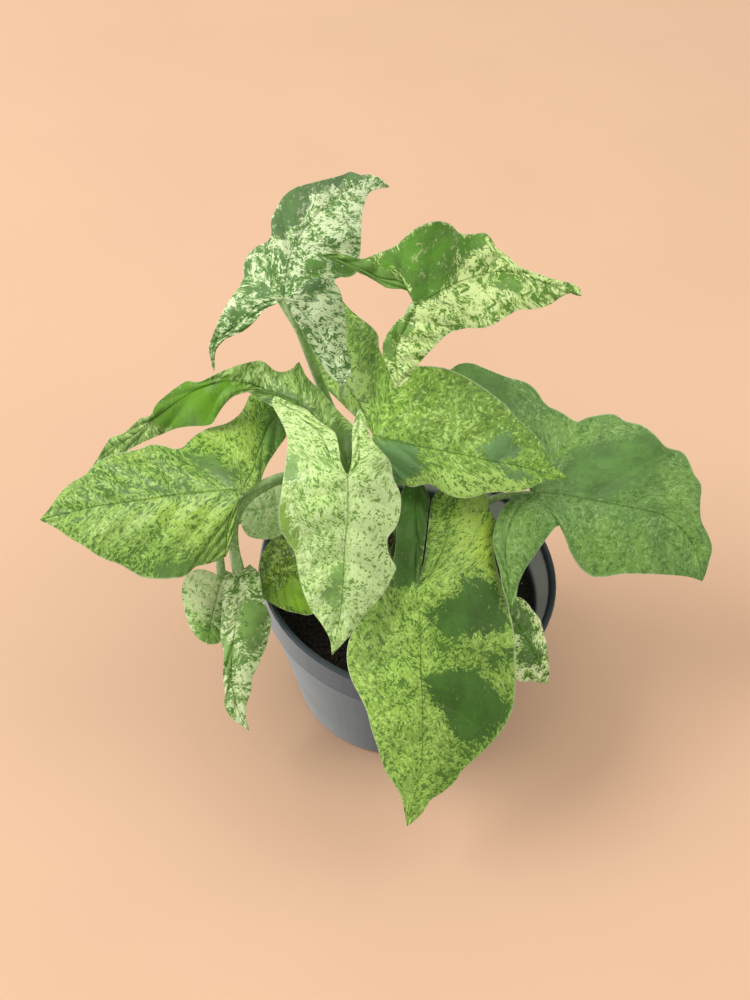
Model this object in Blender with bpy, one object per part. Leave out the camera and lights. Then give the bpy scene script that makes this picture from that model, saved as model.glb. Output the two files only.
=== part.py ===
"""A potted mottled syngonium: thirteen arrow-shaped leaves on four short stems, soil and a nursery pot.

Units are metres, +Z is up, and the origin is on the pot's axis, in the plane that the pot stands on.
A leaf's outline is read in the photograph's frame of 750 x 1000 pixels. Each point of it is carried
back along its line of sight to the height that the leaf has there, so every leaf has its real size.
"""
import math
from collections import namedtuple

import bmesh
import bpy
import numpy as np

# Pot
RIM_RADIUS = 0.065
RIM_LIP = 0.0026
POT_HEIGHT = 0.088
COLLAR_HEIGHT = 0.0155
COLLAR_STEP = 0.0020
COLLAR_TAPER = 0.0010
BODY_TOP_RADIUS = RIM_RADIUS - COLLAR_TAPER - COLLAR_STEP
BASE_RADIUS = 0.0450
BASE_CHAMFER = 0.0020
WALL = 0.0018
FLOOR = 0.0025
DRAIN_COUNT = 6
DRAIN_RADIUS = 0.0035
DRAIN_RING = 0.030
POT_SIDES = 72

# Soil and stems
GAP = 0.0003
SOIL_TOP = 0.0700
SOIL_CROWN = 0.0030
SOIL_SIDES = 48
SOIL_RINGS = 6
SOIL_ROUGHNESS = 0.0007
STEM_RADIUS = 0.0042
STEM_RING = 0.0007
STEM_SCARS = (0.009, 0.021)
SCAR_HALF = 0.0015
STEM_TAPER = 0.003
STEM_TIP = 0.0008
STEM_FOOT = 0.046
STEM_SIDES = 12

# Leaves
BLADE = 0.0008
BLADE_ROWS = 12
LOBE_ROWS = 4
PLAIN_ROWS = 10
BLADE_STEPS = 3
WAVE = 0.0012
FOLD = 0.0014
FOLD_FULL_PIXELS = 40.0
PETIOLE_FOOT_RADIUS = 0.0024
PETIOLE_RADIUS = 0.0015
KEEL_RADIUS = 0.0006
PETIOLE_SIDES = 6
PETIOLE_ROWS = 10
OUTLINE_STEPS = 400
SEED = 7

# The photograph's view, which turns its pixels into lines of sight
FRAME_CENTRE = (375.0, 500.0)
FOCAL_PIXELS = 1100.0
VIEW_ELEVATION = math.radians(48.0)
VIEW_ROLL = math.radians(-8.0)
VIEW_DISTANCE = 0.480
RIM_CENTRE_PIXEL = (409.4, 563.3)

Side = namedtuple("Side", "lobe lobe_tip back edge waves")
Leaf = namedtuple("Leaf", "tone stem foot joint tip rib one other heights path girth", defaults=[1.0])

TONES = {
    "pale": (0.42, 0.56, 0.22),
    "lime": (0.27, 0.42, 0.09),
    "deep": (0.11, 0.21, 0.06),
}

STEMS = {
    "stem_left": (-0.020, 0.004, 0.104),
    "stem_back": (-0.004, 0.014, 0.106),
    "stem_right": (0.014, 0.002, 0.102),
    "stem_front": (-0.008, -0.012, 0.103),
}

LEAVES = {
    "leaf_back_left": Leaf(
        tone="pale", stem="stem_back", foot=0.090, joint=(284, 299), tip=(389, 187), girth=1.2,
        rib=[(287, 271), (293, 249), (305, 229), (324, 208), (343, 193), (359, 184), (375, 182)],
        one=Side(
            lobe=[(276, 304), (265, 309), (257, 319), (245, 330), (234, 335), (224, 340), (216, 350)],
            lobe_tip=(214, 372),
            back=[(209, 348), (214, 332), (222, 314), (229, 301), (239, 287), (244, 277)],
            edge=[(244, 265), (249, 254), (258, 246), (267, 242), (271, 235), (271, 221), (276, 209),
                  (284, 196), (295, 188), (312, 183), (328, 179), (343, 175), (350, 172), (360, 175),
                  (371, 175), (380, 179)],
            waves=4),
        other=Side(
            lobe=[(288, 305), (293, 317), (301, 329), (312, 349), (327, 372)],
            lobe_tip=(343, 388),
            back=[(351, 370), (346, 345), (346, 325), (343, 303), (339, 289)],
            edge=[(334, 281), (340, 277), (349, 277), (356, 273), (360, 252), (361, 228), (362, 214),
                  (365, 202), (369, 193), (377, 189)],
            waves=3),
        heights=[(284, 299, 0.203), (214, 372, 0.174), (244, 268, 0.205), (271, 222, 0.213),
                 (312, 183, 0.216), (350, 172, 0.212), (389, 187, 0.204), (361, 228, 0.207),
                 (356, 273, 0.196), (343, 388, 0.172), (320, 340, 0.187), (305, 229, 0.211)],
        path=[(392, 495, 0.104), (361, 452, 0.114), (337, 420, 0.129), (322, 388, 0.149),
              (310, 357, 0.170), (296, 322, 0.192)]),
    "leaf_back_right": Leaf(
        tone="pale", stem="stem_back", foot=0.099, joint=(415, 306), tip=(581, 296),
        rib=[(433, 296), (453, 285), (478, 276), (503, 272), (530, 278), (556, 288)],
        one=Side(
            lobe=[(411, 296), (406, 290), (387, 288), (376, 281), (356, 271), (340, 264)],
            lobe_tip=(320, 255),
            back=[(333, 253), (347, 255), (361, 259), (378, 253), (395, 246)],
            edge=[(406, 236), (419, 226), (437, 221), (450, 224), (459, 233),
                  (473, 234), (485, 233), (492, 240), (496, 247), (509, 257), (518, 266), (530, 271),
                  (543, 276), (560, 281), (573, 284), (580, 289)],
            waves=4),
        other=Side(
            lobe=[(411, 310), (399, 319), (389, 331), (383, 343), (383, 354), (388, 369), (393, 381)],
            lobe_tip=(398, 389),
            back=[(406, 382), (414, 369), (420, 362), (433, 348), (448, 334)],
            edge=[(458, 330), (468, 328), (483, 328), (495, 324), (509, 315), (519, 310), (535, 309),
                  (549, 305), (561, 297), (571, 293)],
            waves=4),
        heights=[(415, 306, 0.203), (581, 296, 0.193), (437, 221, 0.223), (485, 233, 0.214),
                 (395, 246, 0.219), (320, 255, 0.218), (398, 389, 0.178), (383, 343, 0.190),
                 (450, 333, 0.194), (519, 310, 0.194), (478, 275, 0.203), (530, 272, 0.203)],
        path=[(409, 470, 0.116), (404, 430, 0.134), (401, 385, 0.155), (401, 358, 0.171),
              (404, 330, 0.188)]),
    "leaf_middle": Leaf(
        tone="lime", stem="stem_back", foot=0.082, joint=(374, 436), tip=(568, 479),
        rib=[(392, 441), (414, 446), (452, 453), (486, 460), (525, 468)],
        one=Side(
            lobe=[(366, 425), (353, 415), (344, 406), (335, 397), (322, 385), (311, 368), (306, 352),
                  (309, 335), (320, 315)],
            lobe_tip=(339, 297),
            back=[(349, 308), (359, 317), (372, 327), (378, 335), (379, 348), (386, 359), (396, 366)],
            edge=[(408, 366), (419, 366), (437, 367), (450, 370), (469, 379), (482, 387), (494, 396),
                  (506, 406), (519, 421), (533, 433), (541, 444), (548, 455), (553, 466), (560, 471)],
            waves=3),
        other=Side(
            lobe=[(371, 446), (373, 460), (380, 475)],
            lobe_tip=(390, 487),
            back=[(402, 484), (412, 487)],
            edge=[(421, 485), (430, 484), (439, 489), (449, 495), (461, 498), (474, 497), (486, 493),
                  (501, 492), (516, 492), (528, 489), (540, 483), (556, 479)],
            waves=4),
        heights=[(374, 436, 0.163), (568, 479, 0.142), (461, 498, 0.149), (339, 297, 0.172),
                 (326, 386, 0.137), (378, 335, 0.172), (316, 366, 0.147), (437, 367, 0.172),
                 (506, 406, 0.160), (541, 444, 0.150), (390, 487, 0.148), (452, 453, 0.158),
                 (350, 412, 0.152)],
        path=[(392, 505, 0.114), (386, 485, 0.130), (379, 460, 0.149)]),
    "leaf_right": Leaf(
        tone="deep", stem="stem_right", foot=0.090, joint=(534, 493), tip=(702, 581), girth=0.8,
        rib=[(557, 494), (579, 498), (611, 504), (638, 509), (664, 516), (682, 530), (696, 553)],
        one=Side(
            lobe=[(515, 478), (490, 458), (468, 430), (452, 405)],
            lobe_tip=(440, 380),
            back=[(450, 370), (459, 364), (470, 363), (486, 369), (509, 378), (525, 382), (536, 390),
                  (546, 405), (561, 412), (577, 422)],
            edge=[(586, 418), (607, 414), (616, 415), (625, 421), (641, 425), (655, 435), (666, 447),
                  (682, 452), (689, 462), (694, 474), (701, 485), (700, 503), (701, 521), (707, 533),
                  (712, 549), (709, 560), (706, 572)],
            waves=5),
        other=Side(
            lobe=[(526, 494), (514, 497), (504, 506), (497, 519), (493, 537), (495, 553), (500, 571),
                  (504, 592)],
            lobe_tip=(511, 610),
            back=[(516, 597), (518, 585), (525, 569), (536, 553), (546, 539), (559, 525)],
            edge=[(565, 537), (571, 553), (580, 567), (591, 576), (602, 577), (623, 574), (646, 574),
                  (670, 575), (689, 577)],
            waves=3),
        heights=[(534, 493, 0.132), (702, 581, 0.092), (440, 380, 0.150), (577, 422, 0.139),
                 (616, 415, 0.141), (689, 462, 0.122), (712, 549, 0.099), (600, 577, 0.110),
                 (511, 610, 0.118), (493, 537, 0.131), (559, 525, 0.126), (638, 509, 0.122)],
        path=[(470, 518, 0.110), (493, 499, 0.124), (513, 495, 0.130)]),
    "leaf_front_left": Leaf(
        tone="pale", stem="stem_front", foot=0.096, joint=(348, 478), tip=(332, 655),
        rib=[(348, 513), (345, 551), (343, 590), (340, 618)],
        one=Side(
            lobe=[(344, 470), (341, 463), (338, 444), (335, 433), (324, 425), (316, 419), (307, 410),
                  (292, 404)],
            lobe_tip=(275, 396),
            back=[(272, 403), (276, 412), (284, 427), (288, 440), (287, 453)],
            edge=[(284, 475), (281, 495), (279, 512), (281, 530), (289, 543), (295, 553), (299, 574),
                  (303, 590), (311, 609), (322, 624), (330, 639)],
            waves=4),
        other=Side(
            lobe=[(350, 470), (352, 458), (352, 440), (353, 425)],
            lobe_tip=(359, 409),
            back=[(364, 416), (367, 427), (372, 440), (381, 451), (390, 462)],
            edge=[(393, 478), (400, 494), (400, 513), (395, 528), (388, 537), (387, 546), (391, 559),
                  (396, 567), (393, 575), (381, 596), (364, 615), (351, 634), (341, 645)],
            waves=4),
        heights=[(348, 478, 0.176), (332, 655, 0.111), (275, 396, 0.182), (359, 409, 0.184),
                 (281, 512, 0.162), (400, 500, 0.163), (396, 567, 0.144), (297, 560, 0.144),
                 (346, 530, 0.161), (343, 590, 0.139), (311, 609, 0.127), (364, 615, 0.129)],
        path=[(378, 528, 0.125), (362, 495, 0.150), (351, 478, 0.167)]),
    "leaf_left": Leaf(
        tone="lime", stem="stem_left", foot=0.094, joint=(244, 490), tip=(40, 520),
        rib=[(219, 491), (178, 495), (150, 499), (123, 503), (99, 506), (73, 512)],
        one=Side(
            lobe=[(252, 489), (259, 484), (264, 471), (270, 460), (278, 448), (287, 434)],
            lobe_tip=(286, 405),
            back=[(266, 393), (251, 394), (246, 404), (240, 414), (228, 423), (214, 427)],
            edge=[(207, 429), (199, 433), (190, 440), (182, 448), (174, 449), (164, 446), (150, 445),
                  (140, 449), (126, 452), (113, 455), (99, 462), (85, 475), (71, 483), (59, 495),
                  (49, 509)],
            waves=4),
        other=Side(
            lobe=[(239, 500), (236, 520), (232, 540)],
            lobe_tip=(226, 556),
            back=[(216, 561), (206, 564), (195, 567)],
            edge=[(185, 576), (176, 578), (157, 579), (142, 577), (131, 571), (119, 564), (107, 560),
                  (95, 554), (87, 548), (70, 538), (56, 528)],
            waves=3),
        heights=[(244, 490, 0.148), (40, 520, 0.121), (286, 405, 0.146), (251, 394, 0.150),
                 (199, 433, 0.146), (150, 445, 0.143), (85, 475, 0.134), (226, 556, 0.126),
                 (157, 579, 0.116), (95, 554, 0.120), (150, 499, 0.138), (268, 460, 0.145)],
        path=[(339, 511, 0.110), (314, 482, 0.126), (285, 476, 0.138), (262, 484, 0.144)]),
    "leaf_left_high": Leaf(
        tone="lime", stem="stem_left", foot=0.101, joint=(298, 402), tip=(86, 475),
        rib=[(271, 392), (245, 383), (222, 382), (199, 389), (180, 400), (160, 415), (138, 432),
             (113, 450)],
        one=Side(
            lobe=[(302, 412), (314, 431), (330, 455)],
            lobe_tip=(346, 476),
            back=[(356, 461), (358, 445), (355, 429), (343, 416), (330, 402), (321, 391), (311, 382),
                  (304, 373), (299, 362)],
            edge=[(292, 369), (284, 372), (275, 371), (268, 365), (261, 361), (247, 363),
                  (233, 367), (216, 374), (199, 382), (188, 381), (180, 385), (173, 390), (163, 398),
                  (156, 405), (150, 416), (141, 418), (131, 427), (121, 435), (113, 436), (105, 446),
                  (101, 453), (94, 464)],
            waves=5),
        other=Side(
            lobe=[(299, 414), (303, 430)],
            lobe_tip=(302, 446),
            back=[(294, 437), (285, 421), (276, 409)],
            edge=[(265, 402), (256, 396), (247, 392), (240, 394), (232, 397), (222, 408), (216, 417),
                  (213, 423), (204, 426), (193, 426), (178, 428), (160, 435), (146, 441), (132, 448),
                  (116, 458), (100, 469)],
            waves=3),
        heights=[(298, 402, 0.168), (86, 475, 0.112), (261, 361, 0.171), (299, 362, 0.170),
                 (199, 384, 0.164), (150, 418, 0.142), (121, 437, 0.128), (213, 423, 0.153),
                 (262, 399, 0.164), (346, 476, 0.151), (302, 446, 0.160), (175, 427, 0.141),
                 (343, 416, 0.163)],
        path=[(360, 485, 0.118), (332, 452, 0.138), (311, 420, 0.156)]),
    "leaf_hanging": Leaf(
        tone="pale", stem="stem_left", foot=0.0795, joint=(239, 577), tip=(249, 730), girth=1.35,
        rib=[(238, 604), (235, 632), (232, 660), (233, 688), (240, 714)],
        one=Side(
            lobe=[(234, 574)], lobe_tip=(226, 571), back=[(223, 581)],
            edge=[(223, 590), (222, 611), (221, 639), (224, 653), (223, 674), (225, 691), (225, 706),
                  (231, 717), (240, 724)],
            waves=3),
        other=Side(
            lobe=[(243, 570)], lobe_tip=(250, 565), back=[(258, 572)],
            edge=[(261, 583), (263, 598), (268, 610), (271, 621), (268, 639), (263, 654), (257, 668),
                  (252, 678), (251, 691), (247, 703), (246, 717)],
            waves=3),
        heights=[(239, 577, 0.105), (249, 730, 0.040), (223, 640, 0.078), (271, 621, 0.088),
                 (225, 691, 0.056), (251, 691, 0.058), (226, 571, 0.106), (250, 565, 0.109),
                 (235, 640, 0.082)],
        path=[(338, 524, 0.098), (311, 490, 0.115), (284, 479, 0.128), (260, 489, 0.132),
              (243, 503, 0.130), (234, 523, 0.122), (234, 548, 0.114)]),
    "leaf_hanging_small": Leaf(
        tone="pale", stem="stem_front", foot=0.081, joint=(222, 578), tip=(208, 644),
        rib=[(216, 600), (211, 622)],
        one=Side(lobe=[], lobe_tip=None, back=[],
                 edge=[(213, 573), (201, 569), (189, 573), (183, 584), (182, 597), (185, 611),
                       (189, 625), (198, 638)], waves=2),
        other=Side(lobe=[], lobe_tip=None, back=[],
                   edge=[(230, 583), (234, 597), (234, 613), (229, 630), (218, 643)],
                   waves=2),
        heights=[(222, 578, 0.090), (182, 597, 0.080), (208, 644, 0.058), (201, 569, 0.090),
                 (234, 605, 0.072), (210, 610, 0.077)],
        path=[(353, 568, 0.089), (312, 543, 0.097), (268, 522, 0.100), (240, 520, 0.1025),
              (224, 530, 0.103), (220, 548, 0.101)]),
    "leaf_left_inner": Leaf(
        tone="deep", stem="stem_left", foot=0.086, joint=(294, 500), tip=(240, 511),
        rib=[(277, 505), (258, 510)],
        one=Side(lobe=[], lobe_tip=None, back=[],
                 edge=[(292, 484), (286, 478), (279, 480), (270, 485), (259, 489), (247, 492),
                       (241, 500)], waves=2),
        other=Side(lobe=[], lobe_tip=None, back=[],
                   edge=[(291, 524), (281, 535), (271, 539), (259, 539), (247, 535), (241, 523)],
                   waves=2),
        heights=[(294, 500, 0.113), (240, 511, 0.109), (259, 539, 0.105), (271, 485, 0.112),
                 (286, 535, 0.107)],
        path=[(340, 546, 0.098), (316, 530, 0.106)]),
    "leaf_low_left": Leaf(
        tone="lime", stem="stem_front", foot=0.0885, joint=(318, 578), tip=(259, 596),
        rib=[(302, 573), (286, 573), (272, 583)],
        one=Side(lobe=[], lobe_tip=None, back=[],
                 edge=[(313, 558), (300, 546), (288, 537), (277, 536), (269, 543), (262, 555),
                       (259, 565), (259, 578), (256, 588)], waves=3),
        other=Side(lobe=[], lobe_tip=None, back=[],
                   edge=[(321, 596), (318, 610), (308, 615), (298, 613), (288, 611), (277, 606),
                         (268, 601)], waves=2),
        heights=[(318, 578, 0.112), (259, 596, 0.093), (277, 536, 0.103), (259, 565, 0.099),
                 (298, 613, 0.096), (318, 608, 0.101), (288, 573, 0.106)],
        path=[(371, 576, 0.098), (346, 572, 0.109)]),
    "leaf_front": Leaf(
        tone="lime", stem="stem_right", foot=0.097, joint=(416, 589), tip=(407, 826),
        rib=[(420, 616), (421, 649), (422, 682), (423, 718), (421, 765), (413, 802)],
        one=Side(
            lobe=[(417, 579), (421, 566), (424, 548), (426, 529), (428, 512), (429, 497)],
            lobe_tip=(420, 479),
            back=[(406, 484), (399, 503), (397, 525), (396, 545), (393, 563)],
            edge=[(385, 584), (370, 605), (357, 624), (349, 641), (347, 658), (351, 678), (359, 694),
                  (367, 711), (371, 727), (378, 748), (386, 772), (397, 788), (402, 800), (405, 815)],
            waves=4),
        other=Side(
            lobe=[(419, 581), (423, 567), (426, 548), (428, 530), (430, 512), (433, 497)],
            lobe_tip=(452, 477),
            back=[(477, 478), (486, 490), (489, 508), (495, 522), (493, 538), (495, 560)],
            edge=[(499, 576), (505, 597), (512, 623), (515, 649), (515, 682), (513, 706), (505, 725),
                  (495, 739), (479, 755), (462, 770), (455, 781), (441, 793), (431, 799), (424, 810),
                  (415, 820)],
            waves=4),
        heights=[(416, 589, 0.133), (407, 826, 0.048), (420, 479, 0.141), (470, 478, 0.136),
                 (396, 545, 0.134), (495, 540, 0.124), (515, 649, 0.104), (505, 725, 0.080),
                 (348, 650, 0.099), (371, 727, 0.082), (422, 682, 0.104), (421, 765, 0.072),
                 (462, 770, 0.066), (458, 560, 0.132), (385, 584, 0.126)],
        path=[(446, 544, 0.114), (438, 552, 0.126), (425, 569, 0.131)]),
    "leaf_low_right": Leaf(
        tone="deep", stem="stem_right", foot=0.083, joint=(507, 612), tip=(547, 684),
        rib=[(520, 630), (532, 650), (541, 669)],
        one=Side(lobe=[], lobe_tip=None, back=[],
                 edge=[(511, 600), (518, 597), (526, 602), (533, 611), (540, 620), (543, 631),
                       (546, 643), (548, 659), (549, 673)], waves=3),
        other=Side(lobe=[], lobe_tip=None, back=[],
                   edge=[(500, 622), (498, 640), (500, 660), (508, 675), (520, 681), (534, 681)],
                   waves=2),
        heights=[(507, 612, 0.104), (547, 684, 0.078), (518, 597, 0.103), (548, 659, 0.088),
                 (499, 650, 0.099), (516, 680, 0.087), (526, 642, 0.096)],
        path=[(461, 570, 0.096), (488, 576, 0.107), (505, 590, 0.109)]),
}


# Clear the file
def clear_objects():
    for item in list(bpy.data.objects):
        bpy.data.objects.remove(item, do_unlink=True)


# Materials
def make_material(name, colour, roughness):
    material = bpy.data.materials.new(name)
    material.use_nodes = True
    shader = material.node_tree.nodes["Principled BSDF"]
    shader.inputs["Base Color"].default_value = (*colour, 1.0)
    shader.inputs["Roughness"].default_value = roughness
    shader.inputs["Metallic"].default_value = 0.0
    material.diffuse_color = (*colour, 1.0)
    return material


# Lines of sight
def view_axes():
    """Right, up and back of the photograph's view, in the part's frame."""
    tilt_sin, tilt_cos = math.sin(VIEW_ELEVATION), math.cos(VIEW_ELEVATION)
    roll_sin, roll_cos = math.sin(VIEW_ROLL), math.cos(VIEW_ROLL)
    level = np.array([1.0, 0.0, 0.0])
    upright = np.array([0.0, tilt_sin, tilt_cos])
    right = roll_cos * level - roll_sin * upright
    up = roll_sin * level + roll_cos * upright
    back = np.array([0.0, -tilt_cos, tilt_sin])
    return right, up, back


def frame_offsets(pixels):
    pixels = np.atleast_2d(np.asarray(pixels, float))
    across = (pixels[:, 0] - FRAME_CENTRE[0]) / FOCAL_PIXELS
    down = (pixels[:, 1] - FRAME_CENTRE[1]) / FOCAL_PIXELS
    return across, down


def eye_point():
    right, up, back = view_axes()
    across, down = frame_offsets(RIM_CENTRE_PIXEL)
    to_rim = VIEW_DISTANCE * (across[0] * right - down[0] * up - back)
    return np.array([0.0, 0.0, POT_HEIGHT]) - to_rim


def sight_directions(pixels):
    right, up, back = view_axes()
    across, down = frame_offsets(pixels)
    return across[:, None] * right - down[:, None] * up - back


def points_at_heights(pixels, heights):
    """The points seen at these pixels that lie at these heights above the ground."""
    rays = sight_directions(pixels)
    eye = eye_point()
    reach = (np.asarray(heights) - eye[2]) / rays[:, 2]
    return eye + reach[:, None] * rays


# Curves
def smooth_curve(points, count):
    """A centripetal Catmull-Rom curve through the points, at count + 1 even steps."""
    points = np.asarray(points, float)
    if len(points) == 2:
        steps = np.linspace(0.0, 1.0, count + 1)[:, None]
        return points[0] * (1.0 - steps) + points[1] * steps
    ends = (2 * points[0] - points[1], 2 * points[-1] - points[-2])
    chain = np.vstack([ends[0], points, ends[1]])
    knots = np.concatenate([[0.0], np.cumsum(np.linalg.norm(np.diff(chain, axis=0), axis=1) ** 0.5)])
    fine = []
    for index in range(1, len(chain) - 2):
        fine.extend(span_points(chain[index - 1:index + 3], knots[index - 1:index + 3]))
    fine.append(points[-1])
    return even_steps(np.array(fine), count)


def span_points(corner, knot, samples=12):
    points = []
    for step in range(samples):
        at = knot[1] + (knot[2] - knot[1]) * step / samples
        low = [blend(corner[k], corner[k + 1], knot[k], knot[k + 1], at) for k in range(3)]
        middle = [blend(low[k], low[k + 1], knot[k], knot[k + 2], at) for k in range(2)]
        points.append(blend(middle[0], middle[1], knot[1], knot[2], at))
    return points


def blend(first, second, start, end, at):
    share = (at - start) / (end - start)
    return first * (1.0 - share) + second * share


def even_steps(points, count):
    length = np.concatenate([[0.0], np.cumsum(np.linalg.norm(np.diff(points, axis=0), axis=1))])
    wanted = np.linspace(0.0, length[-1], count + 1)
    return np.stack([np.interp(wanted, length, points[:, axis]) for axis in range(points.shape[1])], 1)


# Leaf surface
def plate_kernel(first, second):
    squared = ((first[:, None] - second[None]) ** 2).sum(-1)
    return squared * np.log(squared + 1e-12)


def height_field(marks, stiffness=0.01):
    """A thin plate laid through a leaf's height marks, as a function of the pixel."""
    marks = np.asarray(marks, float)
    places = marks[:, :2] / 100.0
    count = len(marks)
    flat = np.hstack([np.ones((count, 1)), places])
    system = np.zeros((count + 3, count + 3))
    system[:count, :count] = plate_kernel(places, places) + stiffness * np.eye(count)
    system[:count, count:] = flat
    system[count:, :count] = flat.T
    weights = np.linalg.solve(system, np.concatenate([marks[:, 2], np.zeros(3)]))

    def height(pixels):
        spots = np.atleast_2d(pixels) / 100.0
        plane = np.hstack([np.ones((len(spots), 1)), spots])
        return plate_kernel(spots, places) @ weights[:count] + plane @ weights[count:]

    return height


def side_strips(leaf, side, blade_rows, lobe_rows, plain_rows):
    """Pairs of curves, rib and edge, with the share of the side's length at each row."""
    rib = [leaf.joint] + leaf.rib + [leaf.tip]
    if side.lobe_tip is None:
        edge = smooth_curve([leaf.joint] + side.edge + [leaf.tip], plain_rows)
        return [(smooth_curve(rib, plain_rows), edge, 0.0, 1.0)]
    inner = smooth_curve([leaf.joint] + side.lobe + [side.lobe_tip], lobe_rows)
    outer = smooth_curve([side.lobe_tip] + side.back + side.edge + [leaf.tip], OUTLINE_STEPS)
    shoulder = np.argmin(np.linalg.norm(outer - np.array(side.back[-1]), axis=1))
    back = even_steps(outer[:shoulder + 1], lobe_rows)
    across = 0.5 * np.sqrt(np.linspace(0.0, 1.0, lobe_rows + 1))[:, None]
    spine = inner * (1 - across) + back[::-1] * across
    return [
        (spine, inner, 0.0, 0.2),
        (spine[::-1], back, 0.2, 0.4),
        (smooth_curve(rib, blade_rows), even_steps(outer[shoulder:], blade_rows), 0.4, 1.0),
    ]


def leaf_grid(leaf, blade_rows, lobe_rows, plain_rows, steps):
    """The blade's middle surface: pixels, wave lifts and triangles, with shared points merged."""
    pixels, lifts, triangles, known = [], [], [], {}

    def add_point(pixel, lift):
        key = (round(float(pixel[0]), 3), round(float(pixel[1]), 3))
        if key not in known:
            known[key] = len(pixels)
            pixels.append(pixel)
            lifts.append(lift)
        return known[key]

    for side, sign in ((leaf.one, 1), (leaf.other, -1)):
        for rib, edge, start, end in side_strips(leaf, side, blade_rows, lobe_rows, plain_rows):
            rows = len(rib) - 1
            for row in range(rows):
                quad_rows = []
                for index in (row, row + 1):
                    share = start + (end - start) * index / rows
                    swing = math.sin(2 * math.pi * side.waves * share + sign)
                    width = float(np.linalg.norm(edge[index] - rib[index]))
                    fold = FOLD * min(1.0, width / FOLD_FULL_PIXELS)
                    line = []
                    for step in range(steps + 1):
                        out = step / steps
                        point = rib[index] * (1 - out) + edge[index] * out
                        ripple = WAVE * swing * out ** 2 * math.sin(math.pi * share)
                        lift = ripple + fold * math.sin(math.pi * out)
                        line.append(add_point(point, lift))
                    quad_rows.append(line)
                near, far = quad_rows
                for step in range(steps):
                    corners = (near[step], near[step + 1], far[step + 1], far[step])
                    triangles.extend(split_quad(pixels, corners))
    return np.array(pixels), np.array(lifts), triangles


def turn(pixels, triangle):
    """Twice a triangle's area, with the sign of its sense of turning."""
    (ax, ay), (bx, by), (cx, cy) = (pixels[index] for index in triangle)
    return (bx - ax) * (cy - ay) - (cx - ax) * (by - ay)


def split_quad(pixels, corners):
    """Splits along the diagonal that leaves the fuller pair of triangles, turning alike."""
    a, b, c, d = corners
    if len({a, b, c, d}) < 4:
        return [triangle for triangle in ((a, b, c), (a, c, d)) if len(set(triangle)) == 3]
    sense = 1.0 if turn(pixels, (a, b, c)) + turn(pixels, (a, c, d)) > 0 else -1.0
    pairs = [((a, b, c), (a, c, d)), ((a, b, d), (b, c, d))]
    return list(max(pairs, key=lambda pair: min(sense * turn(pixels, part) for part in pair)))


def facing_viewer(pixels, triangles):
    """Turns each triangle so that its front faces the viewer."""
    turned = []
    for first, second, third in triangles:
        away = turn(pixels, (first, second, third)) > 0
        turned.append((first, third, second) if away else (first, second, third))
    return turned


def leaf_points(leaf, pixels, lifts):
    heights = height_field(leaf.heights)(pixels)
    points = points_at_heights(pixels, heights)
    rays = sight_directions(pixels)
    rays /= np.linalg.norm(rays, axis=1)[:, None]
    return points - rays * lifts[:, None]


def point_normals(points, triangles):
    normals = np.zeros_like(points)
    for triangle in triangles:
        first, second, third = (points[index] for index in triangle)
        face = np.cross(second - first, third - first)
        for index in triangle:
            normals[index] += face
    return normals / np.linalg.norm(normals, axis=1)[:, None]


def closed_sheet(points, normals, triangles, thickness):
    """Two copies of the surface, split alike, with a wall round their border."""
    count = len(points)
    vertices = np.vstack([points + normals * thickness / 2, points - normals * thickness / 2])
    faces = [tuple(triangle) for triangle in triangles]
    faces += [(a + count, c + count, b + count) for a, b, c in triangles]
    directed = {(t[k], t[(k + 1) % 3]) for t in triangles for k in range(3)}
    for start, end in sorted(directed):
        if (end, start) not in directed:
            faces.append((start, start + count, end + count))
            faces.append((start, end + count, end))
    return vertices, faces


# Meshes
def new_object(name, vertices, faces, material):
    mesh = bpy.data.meshes.new(name)
    mesh.from_pydata([tuple(vertex) for vertex in vertices], [], [tuple(face) for face in faces])
    mesh.validate()
    mesh.materials.append(material)
    item = bpy.data.objects.new(name, mesh)
    bpy.context.scene.collection.objects.link(item)
    return item


def turned_solid(name, profile, sides, material, centre=(0.0, 0.0)):
    """A closed solid turned about an upright axis. The profile runs from axis to axis."""
    build = bmesh.new()
    rings = []
    for radius, height in profile:
        if radius == 0.0:
            rings.append([build.verts.new((centre[0], centre[1], height))])
            continue
        angles = [2 * math.pi * side / sides for side in range(sides)]
        rings.append([build.verts.new((centre[0] + radius * math.cos(angle),
                                       centre[1] + radius * math.sin(angle), height))
                      for angle in angles])
    for lower, upper in zip(rings, rings[1:]):
        for side in range(sides):
            corners = [lower[side % len(lower)], lower[(side + 1) % len(lower)],
                       upper[(side + 1) % len(upper)], upper[side % len(upper)]]
            unique = [corner for k, corner in enumerate(corners) if corner not in corners[:k]]
            build.faces.new(unique)
    bmesh.ops.recalc_face_normals(build, faces=build.faces)
    mesh = bpy.data.meshes.new(name)
    build.to_mesh(mesh)
    build.free()
    mesh.materials.append(material)
    item = bpy.data.objects.new(name, mesh)
    bpy.context.scene.collection.objects.link(item)
    return item


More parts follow.
